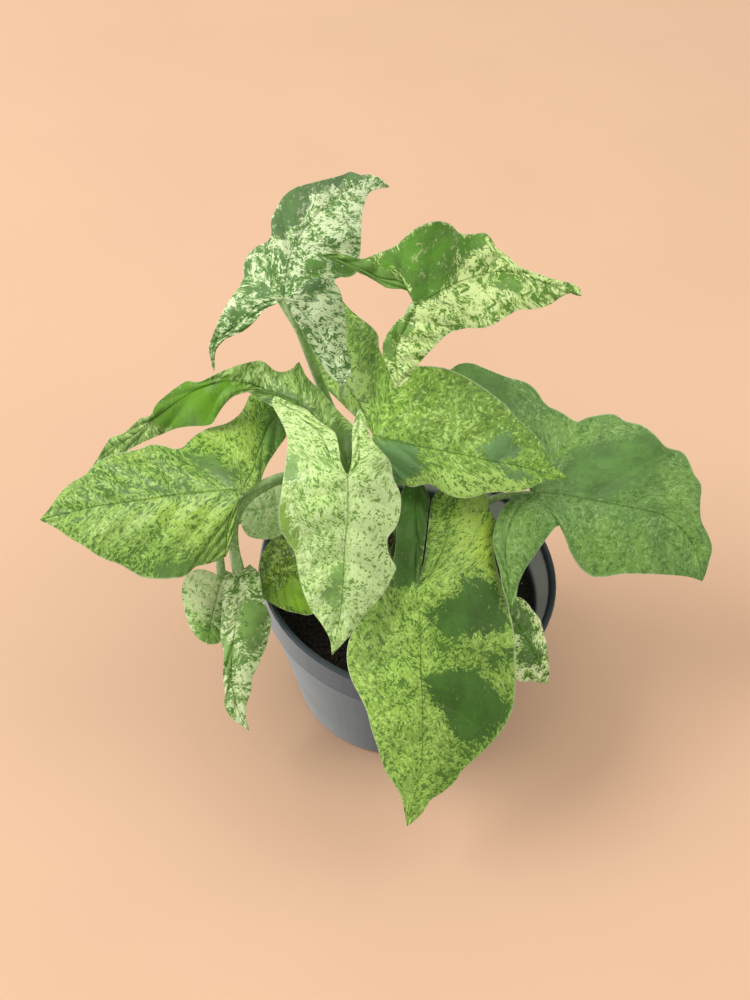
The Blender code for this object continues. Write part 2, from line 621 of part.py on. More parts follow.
def tube_solid(name, path, radii, sides, material):
    """A closed round tube along a path, with its frame carried along without twist."""
    path = np.asarray(path, float)
    tangents = np.gradient(path, axis=0)
    tangents /= np.linalg.norm(tangents, axis=1)[:, None]
    across = np.cross(tangents[0], (0.0, 0.0, 1.0) if abs(tangents[0][2]) < 0.9 else (1.0, 0.0, 0.0))
    vertices, faces = [], []
    for centre, tangent, radius in zip(path, tangents, radii):
        across = across - tangent * np.dot(across, tangent)
        across /= np.linalg.norm(across)
        beside = np.cross(tangent, across)
        for side in range(sides):
            angle = 2 * math.pi * side / sides
            vertices.append(centre + radius * (math.cos(angle) * across + math.sin(angle) * beside))
    for row in range(len(path) - 1):
        for side in range(sides):
            here, there = row * sides + side, row * sides + (side + 1) % sides
            faces.append((here, there, there + sides))
            faces.append((here, there + sides, here + sides))
    faces.append(tuple(range(sides))[::-1])
    last = (len(path) - 1) * sides
    faces.append(tuple(range(last, last + sides)))
    return new_object(name, vertices, faces, material)


def apply_boolean(item, others, operation, solver="EXACT"):
    """Joins or cuts the item with a collection of solids, which are then removed."""
    group = bpy.data.collections.new("solids")
    for other in others:
        for owner in list(other.users_collection):
            owner.objects.unlink(other)
        group.objects.link(other)
    bpy.context.scene.collection.children.link(group)
    modifier = item.modifiers.new("solids", "BOOLEAN")
    modifier.operation = operation
    modifier.operand_type = "COLLECTION"
    modifier.collection = group
    modifier.solver = solver
    bpy.context.view_layer.update()
    result = bpy.data.meshes.new_from_object(item.evaluated_get(bpy.context.evaluated_depsgraph_get()))
    item.modifiers.clear()
    item.data = result
    for other in list(group.objects):
        bpy.data.objects.remove(other, do_unlink=True)
    bpy.data.collections.remove(group)


def shade_round(item, angle=math.radians(40)):
    item.data.shade_smooth()
    item.data.set_sharp_from_angle(angle=angle)


# Pot
def pot_inner_radius(height):
    """The inside of the wall, which narrows evenly towards the floor."""
    share = (height - FLOOR) / (POT_HEIGHT - FLOOR)
    floor_radius = BASE_RADIUS - WALL
    return floor_radius + share * (RIM_RADIUS - RIM_LIP - floor_radius)


def build_pot():
    plastic = make_material("pot_plastic", (0.16, 0.18, 0.20), 0.38)
    shoulder = POT_HEIGHT - COLLAR_HEIGHT
    profile = [
        (0.0, 0.0),
        (BASE_RADIUS - BASE_CHAMFER, 0.0),
        (BASE_RADIUS, BASE_CHAMFER),
        (BODY_TOP_RADIUS, shoulder - COLLAR_STEP),
        (RIM_RADIUS - COLLAR_TAPER, shoulder),
        (RIM_RADIUS, POT_HEIGHT - RIM_LIP / 2),
        (RIM_RADIUS - RIM_LIP * 0.3, POT_HEIGHT),
        (RIM_RADIUS - RIM_LIP * 0.8, POT_HEIGHT),
        (RIM_RADIUS - RIM_LIP, POT_HEIGHT - RIM_LIP / 3),
        (pot_inner_radius(SOIL_TOP), SOIL_TOP),
        (pot_inner_radius(FLOOR), FLOOR),
        (0.0, FLOOR),
    ]
    pot = turned_solid("pot", profile, POT_SIDES, plastic)
    drains = []
    for index in range(DRAIN_COUNT):
        angle = 2 * math.pi * (index + 0.5) / DRAIN_COUNT
        centre = (DRAIN_RING * math.cos(angle), DRAIN_RING * math.sin(angle))
        drain = [(0.0, -FLOOR), (DRAIN_RADIUS, -FLOOR), (DRAIN_RADIUS, 2 * FLOOR), (0.0, 2 * FLOOR)]
        drains.append(turned_solid("drain_%d" % index, drain, STEM_SIDES, plastic, centre))
    apply_boolean(pot, drains, "DIFFERENCE")
    shade_round(pot)


# Soil
def build_soil():
    earth = make_material("soil_earth", (0.018, 0.014, 0.010), 0.95)
    rng = np.random.default_rng(SEED)
    top = []
    for ring in range(SOIL_RINGS + 1):
        share = ring / SOIL_RINGS
        radius = (pot_inner_radius(SOIL_TOP) - GAP) * share
        height = SOIL_TOP + SOIL_CROWN * (1 - share ** 2)
        top.append((radius, height))
    floor_radius = pot_inner_radius(FLOOR + GAP) - GAP
    profile = [(0.0, FLOOR + GAP), (floor_radius, FLOOR + GAP)] + top[::-1]
    soil = turned_solid("soil", profile, SOIL_SIDES, earth)
    inner_edge = pot_inner_radius(SOIL_TOP) * 0.97
    for vertex in soil.data.vertices:
        if vertex.co.z > SOIL_TOP - GAP and vertex.co.xy.length < inner_edge:
            vertex.co.z += rng.uniform(-SOIL_ROUGHNESS, SOIL_ROUGHNESS)
    holes = []
    for name, (x, y, _) in STEMS.items():
        foot = STEM_FOOT - GAP
        reach = STEM_RADIUS + STEM_RING + GAP
        hole = [(0.0, foot), (reach, foot), (reach, SOIL_TOP * 1.2), (0.0, SOIL_TOP * 1.2)]
        holes.append(turned_solid("hole_" + name, hole, STEM_SIDES, earth, (x, y)))
    apply_boolean(soil, holes, "DIFFERENCE")


# Stems
def stem_profile(top, grow=0.0):
    """A short cane: straight in the soil, with two leaf scars standing proud above it."""
    profile = [(0.0, STEM_FOOT - grow), (STEM_RADIUS + grow, STEM_FOOT - grow)]
    for scar in STEM_SCARS:
        for height, ring in ((-SCAR_HALF, 0.0), (0.0, STEM_RING), (SCAR_HALF, 0.0)):
            profile.append((STEM_RADIUS + ring + grow, SOIL_TOP + scar + height))
    profile += [
        (STEM_RADIUS * 0.9 + grow, top - STEM_TAPER + grow),
        (STEM_RADIUS * 0.6 + grow, top + grow),
        (0.0, top + STEM_TIP + grow),
    ]
    return profile


def build_stems():
    for name, (x, y, top) in STEMS.items():
        bark = make_material(name + "_green", (0.13, 0.22, 0.05), 0.5)
        stem = turned_solid(name, stem_profile(top), STEM_SIDES, bark, (x, y))
        shade_round(stem)


# Leaves
def petiole_path(leaf, joint, normal, keel):
    """From the stem's axis, through the leaf's own path, to a keel under the midrib."""
    x, y, _ = STEMS[leaf.stem]
    marks = np.array(leaf.path, float)
    route = [np.array([x, y, leaf.foot]), *points_at_heights(marks[:, :2], marks[:, 2])]
    route.append(joint - normal * PETIOLE_RADIUS * leaf.girth)
    radii = np.linspace(PETIOLE_FOOT_RADIUS, PETIOLE_RADIUS * leaf.girth, PETIOLE_ROWS + 1)
    return np.vstack([smooth_curve(route, PETIOLE_ROWS), keel]), np.append(radii, KEEL_RADIUS)


def nearest_point(pixels, pixel):
    return int(np.argmin(np.linalg.norm(pixels - np.asarray(pixel, float), axis=1)))


def build_leaf(name, leaf, material):
    pixels, lifts, triangles = leaf_grid(leaf, BLADE_ROWS, LOBE_ROWS, PLAIN_ROWS, BLADE_STEPS)
    triangles = facing_viewer(pixels, triangles)
    points = leaf_points(leaf, pixels, lifts)
    normals = point_normals(points, triangles)
    vertices, faces = closed_sheet(points, normals, triangles, BLADE)
    blade = new_object(name, vertices, faces, material)
    rows = PLAIN_ROWS if leaf.one.lobe_tip is None else BLADE_ROWS
    midrib = smooth_curve([leaf.joint] + leaf.rib + [leaf.tip], rows)
    joint = nearest_point(pixels, leaf.joint)
    ahead = nearest_point(pixels, midrib[1])
    keel = points[ahead] - normals[ahead] * (BLADE + KEEL_RADIUS) / 2
    path, radii = petiole_path(leaf, points[joint], normals[joint], keel)
    petiole = tube_solid(name + "_petiole", path, radii, PETIOLE_SIDES, material)
    apply_boolean(blade, [petiole], "UNION", "MANIFOLD")
    x, y, top = STEMS[leaf.stem]
    seat = turned_solid(name + "_seat", stem_profile(top, GAP), STEM_SIDES, material, (x, y))
    apply_boolean(blade, [seat], "DIFFERENCE", "MANIFOLD")
    shade_round(blade, math.radians(60))
    return blade


def build_leaves():
    for name, leaf in LEAVES.items():
        build_leaf(name, leaf, make_material(name + "_green", TONES[leaf.tone], 0.45))


clear_objects()
build_pot()
build_soil()
build_stems()
build_leaves()
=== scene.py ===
# %% [markdown]
# # A potted mottled syngonium
#
# This lesson dresses a part that is already built as solids: thirteen arrow-shaped leaves on
# four short stems, in soil, in a grey nursery pot. The solids give every size. The scene
# replaces each leaf by a finer one of the same form, and adds what a solid is too plain for:
# the raised flesh between the side veins, the mottling, the crumbs of the soil.

# %% Load the solids
import math
from collections import namedtuple

import bpy
import numpy as np
from mathutils import Matrix


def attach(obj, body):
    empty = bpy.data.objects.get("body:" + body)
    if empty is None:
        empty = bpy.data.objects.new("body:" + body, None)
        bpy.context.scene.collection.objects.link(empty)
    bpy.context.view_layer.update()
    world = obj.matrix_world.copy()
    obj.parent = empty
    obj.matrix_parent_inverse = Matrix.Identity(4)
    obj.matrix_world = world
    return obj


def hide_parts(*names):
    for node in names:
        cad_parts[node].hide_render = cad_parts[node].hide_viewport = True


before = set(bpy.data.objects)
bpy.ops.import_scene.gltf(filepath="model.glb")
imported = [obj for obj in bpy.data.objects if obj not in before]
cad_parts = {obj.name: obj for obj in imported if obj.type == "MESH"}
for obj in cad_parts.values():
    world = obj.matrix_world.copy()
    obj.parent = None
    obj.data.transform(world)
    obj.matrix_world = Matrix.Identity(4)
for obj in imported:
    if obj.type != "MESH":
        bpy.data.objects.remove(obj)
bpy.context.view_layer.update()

# %% [markdown]
# ## The view that the leaves were measured in
#
# A plant has no drawing, so its leaves were measured in one photograph. Its frame is
# 750 x 1000 pixels. A leaf's outline is a row of points in that frame, and each point
# has a height above the ground. A line of sight through the point, cut at that height,
# gives a place in metres. The same numbers place the camera later on.

# %% Lines of sight
FRAME_CENTRE = (375.0, 500.0)
FOCAL_PIXELS = 1100.0
VIEW_ELEVATION = math.radians(48.0)
VIEW_ROLL = math.radians(-8.0)
VIEW_DISTANCE = 0.480
RIM_CENTRE_PIXEL = (409.4, 563.3)
RIM_HEIGHT = 0.088
PIXELS_PER_CM = 23.0
TURN = 2 * math.pi


def view_axes():
    """Right, up and back of the view, in the part's frame."""
    tilt_sin, tilt_cos = math.sin(VIEW_ELEVATION), math.cos(VIEW_ELEVATION)
    roll_sin, roll_cos = math.sin(VIEW_ROLL), math.cos(VIEW_ROLL)
    level = np.array([1.0, 0.0, 0.0])
    upright = np.array([0.0, tilt_sin, tilt_cos])
    right = roll_cos * level - roll_sin * upright
    up = roll_sin * level + roll_cos * upright
    return right, up, np.array([0.0, -tilt_cos, tilt_sin])


RIGHT, UP, BACK = view_axes()


def sight_directions(pixels):
    across, down = ((np.atleast_2d(pixels) - FRAME_CENTRE) / FOCAL_PIXELS).T
    return across[:, None] * RIGHT - down[:, None] * UP - BACK


EYE = np.array([0.0, 0.0, RIM_HEIGHT]) - VIEW_DISTANCE * sight_directions(RIM_CENTRE_PIXEL)[0]


def points_at_heights(pixels, heights):
    rays = sight_directions(pixels)
    return EYE + ((heights - EYE[2]) / rays[:, 2])[:, None] * rays


print("eye at", EYE.round(3))

# %% [markdown]
# ## The leaves' measurements
#
# A syngonium leaf is an arrowhead: a long blade in front of the joint, and two lobes that
# point back beside the stalk. The table repeats the solids' own values, so the fine leaves
# lie exactly where the solids lie. Each leaf has its stem, the height of its stalk's foot,
# the stalk's girth, its midrib from joint to tip, two sides, height marks and the stalk's
# path. A side goes from the joint along the lobe's inner edge to the lobe's tip, back to
# the shoulder, and along the blade. Points are written as x,y with a space between points
# and a bar between stretches, and a third number is a height in millimetres.

# %% Measured leaves
Side = namedtuple("Side", "waves lobe back edge")
Leaf = namedtuple("Leaf", "stem foot girth rib one other heights path")
MARK_UNITS = (1.0, 1.0, 1000.0)


def read(text):
    return [tuple(float(number) for number in mark.split(",")) for mark in text.split()]


def margin(waves, text):
    """One side of a leaf: lobe, back and edge, or only the edge where there is no lobe."""
    *lobed, edge = [read(stretch) for stretch in text.split("|")]
    lobe, back = lobed or ([], [])
    return Side(waves, lobe, back, edge)


def measured(stem, foot, girth, rib, one, other, heights, path):
    heights, path = (np.array(read(text)) / MARK_UNITS for text in (heights, path))
    return Leaf(stem, foot, girth, read(rib), one, other, heights, path)


STEMS = {"stem_left": (-0.020, 0.004), "stem_back": (-0.004, 0.014),
         "stem_right": (0.014, 0.002), "stem_front": (-0.008, -0.012)}

LEAVES = {
    "leaf_back_left": measured(
        "stem_back", 0.09, 1.2,
        rib="284,299 287,271 293,249 305,229 324,208 343,193 359,184 375,182 389,187",
        one=margin(4, """276,304 265,309 257,319 245,330 234,335 224,340 216,350 214,372 | 209,348
        214,332 222,314 229,301 239,287 244,277 | 244,265 249,254 258,246 267,242 271,235 271,221
        276,209 284,196 295,188 312,183 328,179 343,175 350,172 360,175 371,175 380,179"""),
        other=margin(3, """288,305 293,317 301,329 312,349 327,372 343,388 | 351,370 346,345 346,325
        343,303 339,289 | 334,281 340,277 349,277 356,273 360,252 361,228 362,214 365,202 369,193
        377,189"""),
        heights="""284,299,203 214,372,174 244,268,205 271,222,213 312,183,216 350,172,212
        389,187,204 361,228,207 356,273,196 343,388,172 320,340,187 305,229,211""",
        path="392,495,104 361,452,114 337,420,129 322,388,149 310,357,170 296,322,192"),
    "leaf_back_right": measured(
        "stem_back", 0.099, 1.0,
        rib="415,306 433,296 453,285 478,276 503,272 530,278 556,288 581,296",
        one=margin(4, """411,296 406,290 387,288 376,281 356,271 340,264 320,255 | 333,253 347,255
        361,259 378,253 395,246 | 406,236 419,226 437,221 450,224 459,233 473,234 485,233 492,240
        496,247 509,257 518,266 530,271 543,276 560,281 573,284 580,289"""),
        other=margin(4, """411,310 399,319 389,331 383,343 383,354 388,369 393,381 398,389 | 406,382
        414,369 420,362 433,348 448,334 | 458,330 468,328 483,328 495,324 509,315 519,310 535,309
        549,305 561,297 571,293"""),
        heights="""415,306,203 581,296,193 437,221,223 485,233,214 395,246,219 320,255,218
        398,389,178 383,343,190 450,333,194 519,310,194 478,275,203 530,272,203""",
        path="409,470,116 404,430,134 401,385,155 401,358,171 404,330,188"),
    "leaf_middle": measured(
        "stem_back", 0.082, 1.0,
        rib="374,436 392,441 414,446 452,453 486,460 525,468 568,479",
        one=margin(3, """366,425 353,415 344,406 335,397 322,385 311,368 306,352 309,335 320,315
        339,297 | 349,308 359,317 372,327 378,335 379,348 386,359 396,366 | 408,366 419,366 437,367
        450,370 469,379 482,387 494,396 506,406 519,421 533,433 541,444 548,455 553,466 560,471"""),
        other=margin(4, """371,446 373,460 380,475 390,487 | 402,484 412,487 | 421,485 430,484
        439,489 449,495 461,498 474,497 486,493 501,492 516,492 528,489 540,483 556,479"""),
        heights="""374,436,163 568,479,142 461,498,149 339,297,172 326,386,137 378,335,172
        316,366,147 437,367,172 506,406,160 541,444,150 390,487,148 452,453,158 350,412,152""",
        path="392,505,114 386,485,130 379,460,149"),
    "leaf_right": measured(
        "stem_right", 0.09, 0.8,
        rib="534,493 557,494 579,498 611,504 638,509 664,516 682,530 696,553 702,581",
        one=margin(5, """515,478 490,458 468,430 452,405 440,380 | 450,370 459,364 470,363 486,369
        509,378 525,382 536,390 546,405 561,412 577,422 | 586,418 607,414 616,415 625,421 641,425
        655,435 666,447 682,452 689,462 694,474 701,485 700,503 701,521 707,533 712,549 709,560
        706,572"""),
        other=margin(3, """526,494 514,497 504,506 497,519 493,537 495,553 500,571 504,592 511,610 |
        516,597 518,585 525,569 536,553 546,539 559,525 | 565,537 571,553 580,567 591,576 602,577
        623,574 646,574 670,575 689,577"""),
        heights="""534,493,132 702,581,92 440,380,150 577,422,139 616,415,141 689,462,122 712,549,99
        600,577,110 511,610,118 493,537,131 559,525,126 638,509,122""",
        path="470,518,110 493,499,124 513,495,130"),
    "leaf_front_left": measured(
        "stem_front", 0.096, 1.0,
        rib="348,478 348,513 345,551 343,590 340,618 332,655",
        one=margin(4, """344,470 341,463 338,444 335,433 324,425 316,419 307,410 292,404 275,396 |
        272,403 276,412 284,427 288,440 287,453 | 284,475 281,495 279,512 281,530 289,543 295,553
        299,574 303,590 311,609 322,624 330,639"""),
        other=margin(4, """350,470 352,458 352,440 353,425 359,409 | 364,416 367,427 372,440 381,451
        390,462 | 393,478 400,494 400,513 395,528 388,537 387,546 391,559 396,567 393,575 381,596
        364,615 351,634 341,645"""),
        heights="""348,478,176 332,655,111 275,396,182 359,409,184 281,512,162 400,500,163
        396,567,144 297,560,144 346,530,161 343,590,139 311,609,127 364,615,129""",
        path="378,528,125 362,495,150 351,478,167"),
    "leaf_left": measured(
        "stem_left", 0.094, 1.0,
        rib="244,490 219,491 178,495 150,499 123,503 99,506 73,512 40,520",
        one=margin(4, """252,489 259,484 264,471 270,460 278,448 287,434 286,405 | 266,393 251,394
        246,404 240,414 228,423 214,427 | 207,429 199,433 190,440 182,448 174,449 164,446 150,445
        140,449 126,452 113,455 99,462 85,475 71,483 59,495 49,509"""),
        other=margin(3, """239,500 236,520 232,540 226,556 | 216,561 206,564 195,567 | 185,576
        176,578 157,579 142,577 131,571 119,564 107,560 95,554 87,548 70,538 56,528"""),
        heights="""244,490,148 40,520,121 286,405,146 251,394,150 199,433,146 150,445,143 85,475,134
        226,556,126 157,579,116 95,554,120 150,499,138 268,460,145""",
        path="339,511,110 314,482,126 285,476,138 262,484,144"),
    "leaf_left_high": measured(
        "stem_left", 0.101, 1.0,
        rib="298,402 271,392 245,383 222,382 199,389 180,400 160,415 138,432 113,450 86,475",
        one=margin(5, """302,412 314,431 330,455 346,476 | 356,461 358,445 355,429 343,416 330,402
        321,391 311,382 304,373 299,362 | 292,369 284,372 275,371 268,365 261,361 247,363 233,367
        216,374 199,382 188,381 180,385 173,390 163,398 156,405 150,416 141,418 131,427 121,435
        113,436 105,446 101,453 94,464"""),
        other=margin(3, """299,414 303,430 302,446 | 294,437 285,421 276,409 | 265,402 256,396
        247,392 240,394 232,397 222,408 216,417 213,423 204,426 193,426 178,428 160,435 146,441
        132,448 116,458 100,469"""),
        heights="""298,402,168 86,475,112 261,361,171 299,362,170 199,384,164 150,418,142
        121,437,128 213,423,153 262,399,164 346,476,151 302,446,160 175,427,141 343,416,163""",
        path="360,485,118 332,452,138 311,420,156"),
    "leaf_hanging": measured(
        "stem_left", 0.0795, 1.35,
        rib="239,577 238,604 235,632 232,660 233,688 240,714 249,730",
        one=margin(3, """234,574 226,571 | 223,581 | 223,590 222,611 221,639 224,653 223,674 225,691
        225,706 231,717 240,724"""),
        other=margin(3, """243,570 250,565 | 258,572 | 261,583 263,598 268,610 271,621 268,639
        263,654 257,668 252,678 251,691 247,703 246,717"""),
        heights="""239,577,105 249,730,40 223,640,78 271,621,88 225,691,56 251,691,58 226,571,106
        250,565,109 235,640,82""",
        path="338,524,98 311,490,115 284,479,128 260,489,132 243,503,130 234,523,122 234,548,114"),
    "leaf_hanging_small": measured(
        "stem_front", 0.081, 1.0,
        rib="222,578 216,600 211,622 208,644",
        one=margin(2, "213,573 201,569 189,573 183,584 182,597 185,611 189,625 198,638"),
        other=margin(2, "230,583 234,597 234,613 229,630 218,643"),
        heights="222,578,90 182,597,80 208,644,58 201,569,90 234,605,72 210,610,77",
        path="353,568,89 312,543,97 268,522,100 240,520,102.5 224,530,103 220,548,101"),
    "leaf_left_inner": measured(
        "stem_left", 0.086, 1.0,
        rib="294,500 277,505 258,510 240,511",
        one=margin(2, "292,484 286,478 279,480 270,485 259,489 247,492 241,500"),
        other=margin(2, "291,524 281,535 271,539 259,539 247,535 241,523"),
        heights="294,500,113 240,511,109 259,539,105 271,485,112 286,535,107",
        path="340,546,98 316,530,106"),
    "leaf_low_left": measured(
        "stem_front", 0.0885, 1.0,
        rib="318,578 302,573 286,573 272,583 259,596",
        one=margin(3, "313,558 300,546 288,537 277,536 269,543 262,555 259,565 259,578 256,588"),
        other=margin(2, "321,596 318,610 308,615 298,613 288,611 277,606 268,601"),
        heights="318,578,112 259,596,93 277,536,103 259,565,99 298,613,96 318,608,101 288,573,106",
        path="371,576,98 346,572,109"),
    "leaf_front": measured(
        "stem_right", 0.097, 1.0,
        rib="416,589 420,616 421,649 422,682 423,718 421,765 413,802 407,826",
        one=margin(4, """417,579 421,566 424,548 426,529 428,512 429,497 420,479 | 406,484 399,503
        397,525 396,545 393,563 | 385,584 370,605 357,624 349,641 347,658 351,678 359,694 367,711
        371,727 378,748 386,772 397,788 402,800 405,815"""),
        other=margin(4, """419,581 423,567 426,548 428,530 430,512 433,497 452,477 | 477,478 486,490
        489,508 495,522 493,538 495,560 | 499,576 505,597 512,623 515,649 515,682 513,706 505,725
        495,739 479,755 462,770 455,781 441,793 431,799 424,810 415,820"""),
        heights="""416,589,133 407,826,48 420,479,141 470,478,136 396,545,134 495,540,124
        515,649,104 505,725,80 348,650,99 371,727,82 422,682,104 421,765,72 462,770,66 458,560,132
        385,584,126""",
        path="446,544,114 438,552,126 425,569,131"),
    "leaf_low_right": measured(
        "stem_right", 0.083, 1.0,
        rib="507,612 520,630 532,650 541,669 547,684",
        one=margin(3, "511,600 518,597 526,602 533,611 540,620 543,631 546,643 548,659 549,673"),
        other=margin(2, "500,622 498,640 500,660 508,675 520,681 534,681"),
        heights="507,612,104 547,684,78 518,597,103 548,659,88 499,650,99 516,680,87 526,642,96",
        path="461,570,96 488,576,107 505,590,109"),
}
print("leaves:", len(LEAVES), "stems:", len(STEMS))

# %% [markdown]
# ## Curves and a thin plate
#
# Two tools turn the few measured points into a whole surface. A Catmull-Rom curve runs
# smoothly through a row of points. A thin plate is the surface that bends least while it
# passes close to all height marks, which is also how a leaf lies between its stiff ribs.

# %% Curves
SPAN_SAMPLES = 12
CENTRIPETAL = 0.5


def blend(first, second, start, end, at):
    share = (at - start) / (end - start)
    return first * (1.0 - share) + second * share


def way_along(points, power=1.0):
    """How far along the row each point lies, with every step raised to a power."""
    return np.append(0.0, np.cumsum(np.linalg.norm(np.diff(points, axis=0), axis=1) ** power))


def even_steps(points, count):
    length = way_along(points)
    wanted = np.linspace(0.0, length[-1], count + 1)
    return np.stack([np.interp(wanted, length, column) for column in points.T], 1)


def span_points(corner, knot):
    points = []
    for step in range(SPAN_SAMPLES):
        at = knot[1] + (knot[2] - knot[1]) * step / SPAN_SAMPLES
        low = [blend(corner[k], corner[k + 1], knot[k], knot[k + 1], at) for k in range(3)]
        middle = [blend(low[k], low[k + 1], knot[k], knot[k + 2], at) for k in range(2)]
        points.append(blend(middle[0], middle[1], knot[1], knot[2], at))
    return points


def smooth_curve(points, count):
    """A centripetal Catmull-Rom curve through the points, at count + 1 even steps."""
    points = np.asarray(points, float)
    chain = np.vstack([2 * points[0] - points[1], points, 2 * points[-1] - points[-2]])
    knots = way_along(chain, CENTRIPETAL)
    fine = []
    for index in range(1, len(chain) - 2):
        fine.extend(span_points(chain[index - 1:index + 3], knots[index - 1:index + 3]))
    fine.append(points[-1])
    return even_steps(np.array(fine), count)


print("the front leaf's midrib:", way_along(smooth_curve(LEAVES["leaf_front"].rib, 40))[-1].round(), "pixels")

# %% The thin plate
PLATE_UNIT = 100.0
PLATE_SLACK = 0.01
PLATE_TINY = 1e-12


def plate_kernel(first, second):
    squared = ((first[:, None] - second[None]) ** 2).sum(-1)
    return squared * np.log(squared + PLATE_TINY)


def height_field(heights):
    """A thin plate laid through a leaf's height marks, as a function of the pixel."""
    places = heights[:, :2] / PLATE_UNIT
    count = len(places)
    flat = np.hstack([np.ones((count, 1)), places])
    system = np.block([[plate_kernel(places, places) + PLATE_SLACK * np.eye(count), flat],
                       [flat.T, np.zeros((3, 3))]])
    weights = np.linalg.solve(system, np.append(heights[:, 2], np.zeros(3)))

    def height(pixels):
        spots = np.atleast_2d(pixels) / PLATE_UNIT
        plane = np.hstack([np.ones((len(spots), 1)), spots])
        return plate_kernel(spots, places) @ weights[:count] + plane @ weights[count:]

    return height


front = LEAVES["leaf_front"]
print("height of the front leaf's joint:", height_field(front.heights)(front.rib[:1]).round(3))

# %% [markdown]
# ## A leaf as a grid of veins
#
# The grid's rows run from the midrib to the margin, as the side veins do. So each point
# knows how far along the leaf it lies and how far out from the rib. The relief uses that:
# the flesh bulges between the side veins and sinks at them, and the margin ripples. The
# paint uses it too, because the flecks of a mottled leaf are drawn out along its veins.

# %% The grid of one leaf
BLADE_ROWS, LOBE_ROWS, PLAIN_ROWS, STEPS = 64, 20, 44, 12
OUTLINE_STEPS = 400
LENGTH_STEPS = 40
LOBE_SHARE = 0.4
SIDE_VEINS, PLAIN_VEINS, VEIN_LEAN = 9.0, 6.0, 0.9

Grid = namedtuple("Grid", "pixels lifts veins triangles")


def side_strips(leaf, side):
    """Strips between two curves, each with its share of the side's length.

    The last two values are the way along the leaf at the strip's ends, and its sign.
    """
    joint, tip = leaf.rib[0], leaf.rib[-1]
    if not side.lobe:
        edge = smooth_curve([joint] + side.edge + [tip], PLAIN_ROWS)
        return [(smooth_curve(leaf.rib, PLAIN_ROWS), edge, (0.0, 1.0), (0.0, 1.0), 1)]
    inner = smooth_curve([joint] + side.lobe, LOBE_ROWS)
    outer = smooth_curve(side.lobe[-1:] + side.back + side.edge + [tip], OUTLINE_STEPS)
    shoulder = np.argmin(np.linalg.norm(outer - side.back[-1], axis=1))
    back = even_steps(outer[:shoulder + 1], LOBE_ROWS)
    across = 0.5 * np.sqrt(np.linspace(0.0, 1.0, LOBE_ROWS + 1))[:, None]
    spine = inner * (1 - across) + back[::-1] * across
    blade = (smooth_curve(leaf.rib, BLADE_ROWS), even_steps(outer[shoulder:], BLADE_ROWS))
    return [
        (spine, inner, (0.0, LOBE_SHARE / 2), (LOBE_SHARE, 0.0), -1),
        (spine[::-1], back, (LOBE_SHARE / 2, LOBE_SHARE), (0.0, LOBE_SHARE), 1),
        (*blade, (LOBE_SHARE, 1.0), (LOBE_SHARE, 1.0), 1),
    ]


# %% The relief of the blade
WAVE = 0.0012
FOLD, FOLD_FULL_PIXELS = 0.0014, 40.0
QUILT, QUILT_END, QUILT_ROUND, QUILT_FADE = 0.0008, 1.15, 0.7, 6.0
FRILL, FRILL_COUNT, FRILL_DRIFT, FRILL_FADE = 0.00035, 17.0, 0.3, 4.0
DRIFT_TURNS = 40.0


def relief(share, along, out, swing, veins, width):
    """How far a point is lifted towards the viewer by ripple, fold, bulge and frill."""
    ripple = WAVE * swing * out ** 2 * math.sin(math.pi * share)
    fold = FOLD * min(1.0, width / FOLD_FULL_PIXELS) * math.sin(math.pi * out)
    calm = math.sin(math.pi * min(out * QUILT_END, 1.0)) ** QUILT_ROUND
    calm *= min(1.0, QUILT_FADE * (1.0 - along))
    phase = along * veins - VEIN_LEAN * out
    bulge = QUILT * (math.sin(math.pi * phase) ** 2 - 0.5) * calm
    frill = FRILL * math.sin(TURN * (along * FRILL_COUNT + FRILL_DRIFT * math.sin(DRIFT_TURNS * along)))
    return ripple + fold + bulge + frill * out ** 6 * min(1.0, FRILL_FADE * (1.0 - along))


print("lift in the middle of a blade:", round(relief(0.5, 0.5, 0.5, 0.0, SIDE_VEINS, 60.0) * 1000, 2), "mm")

# %% From strips to a grid
def sense(pixels, triangle):
    """Twice a triangle's area, positive or negative by the way it turns."""
    (ax, ay), (bx, by), (cx, cy) = (pixels[index] for index in triangle)
    return (bx - ax) * (cy - ay) - (cx - ax) * (by - ay)


def split_quad(pixels, corners):
    """Splits along the diagonal that leaves the fuller pair of triangles."""
    a, b, c, d = corners
    if len({a, b, c, d}) < 4:
        return [triangle for triangle in ((a, b, c), (a, c, d)) if len(set(triangle)) == 3]
    sign = 1.0 if sense(pixels, (a, b, c)) + sense(pixels, (a, c, d)) > 0 else -1.0
    pairs = [((a, b, c), (a, c, d)), ((a, b, d), (b, c, d))]
    return list(max(pairs, key=lambda pair: min(sign * sense(pixels, half) for half in pair)))


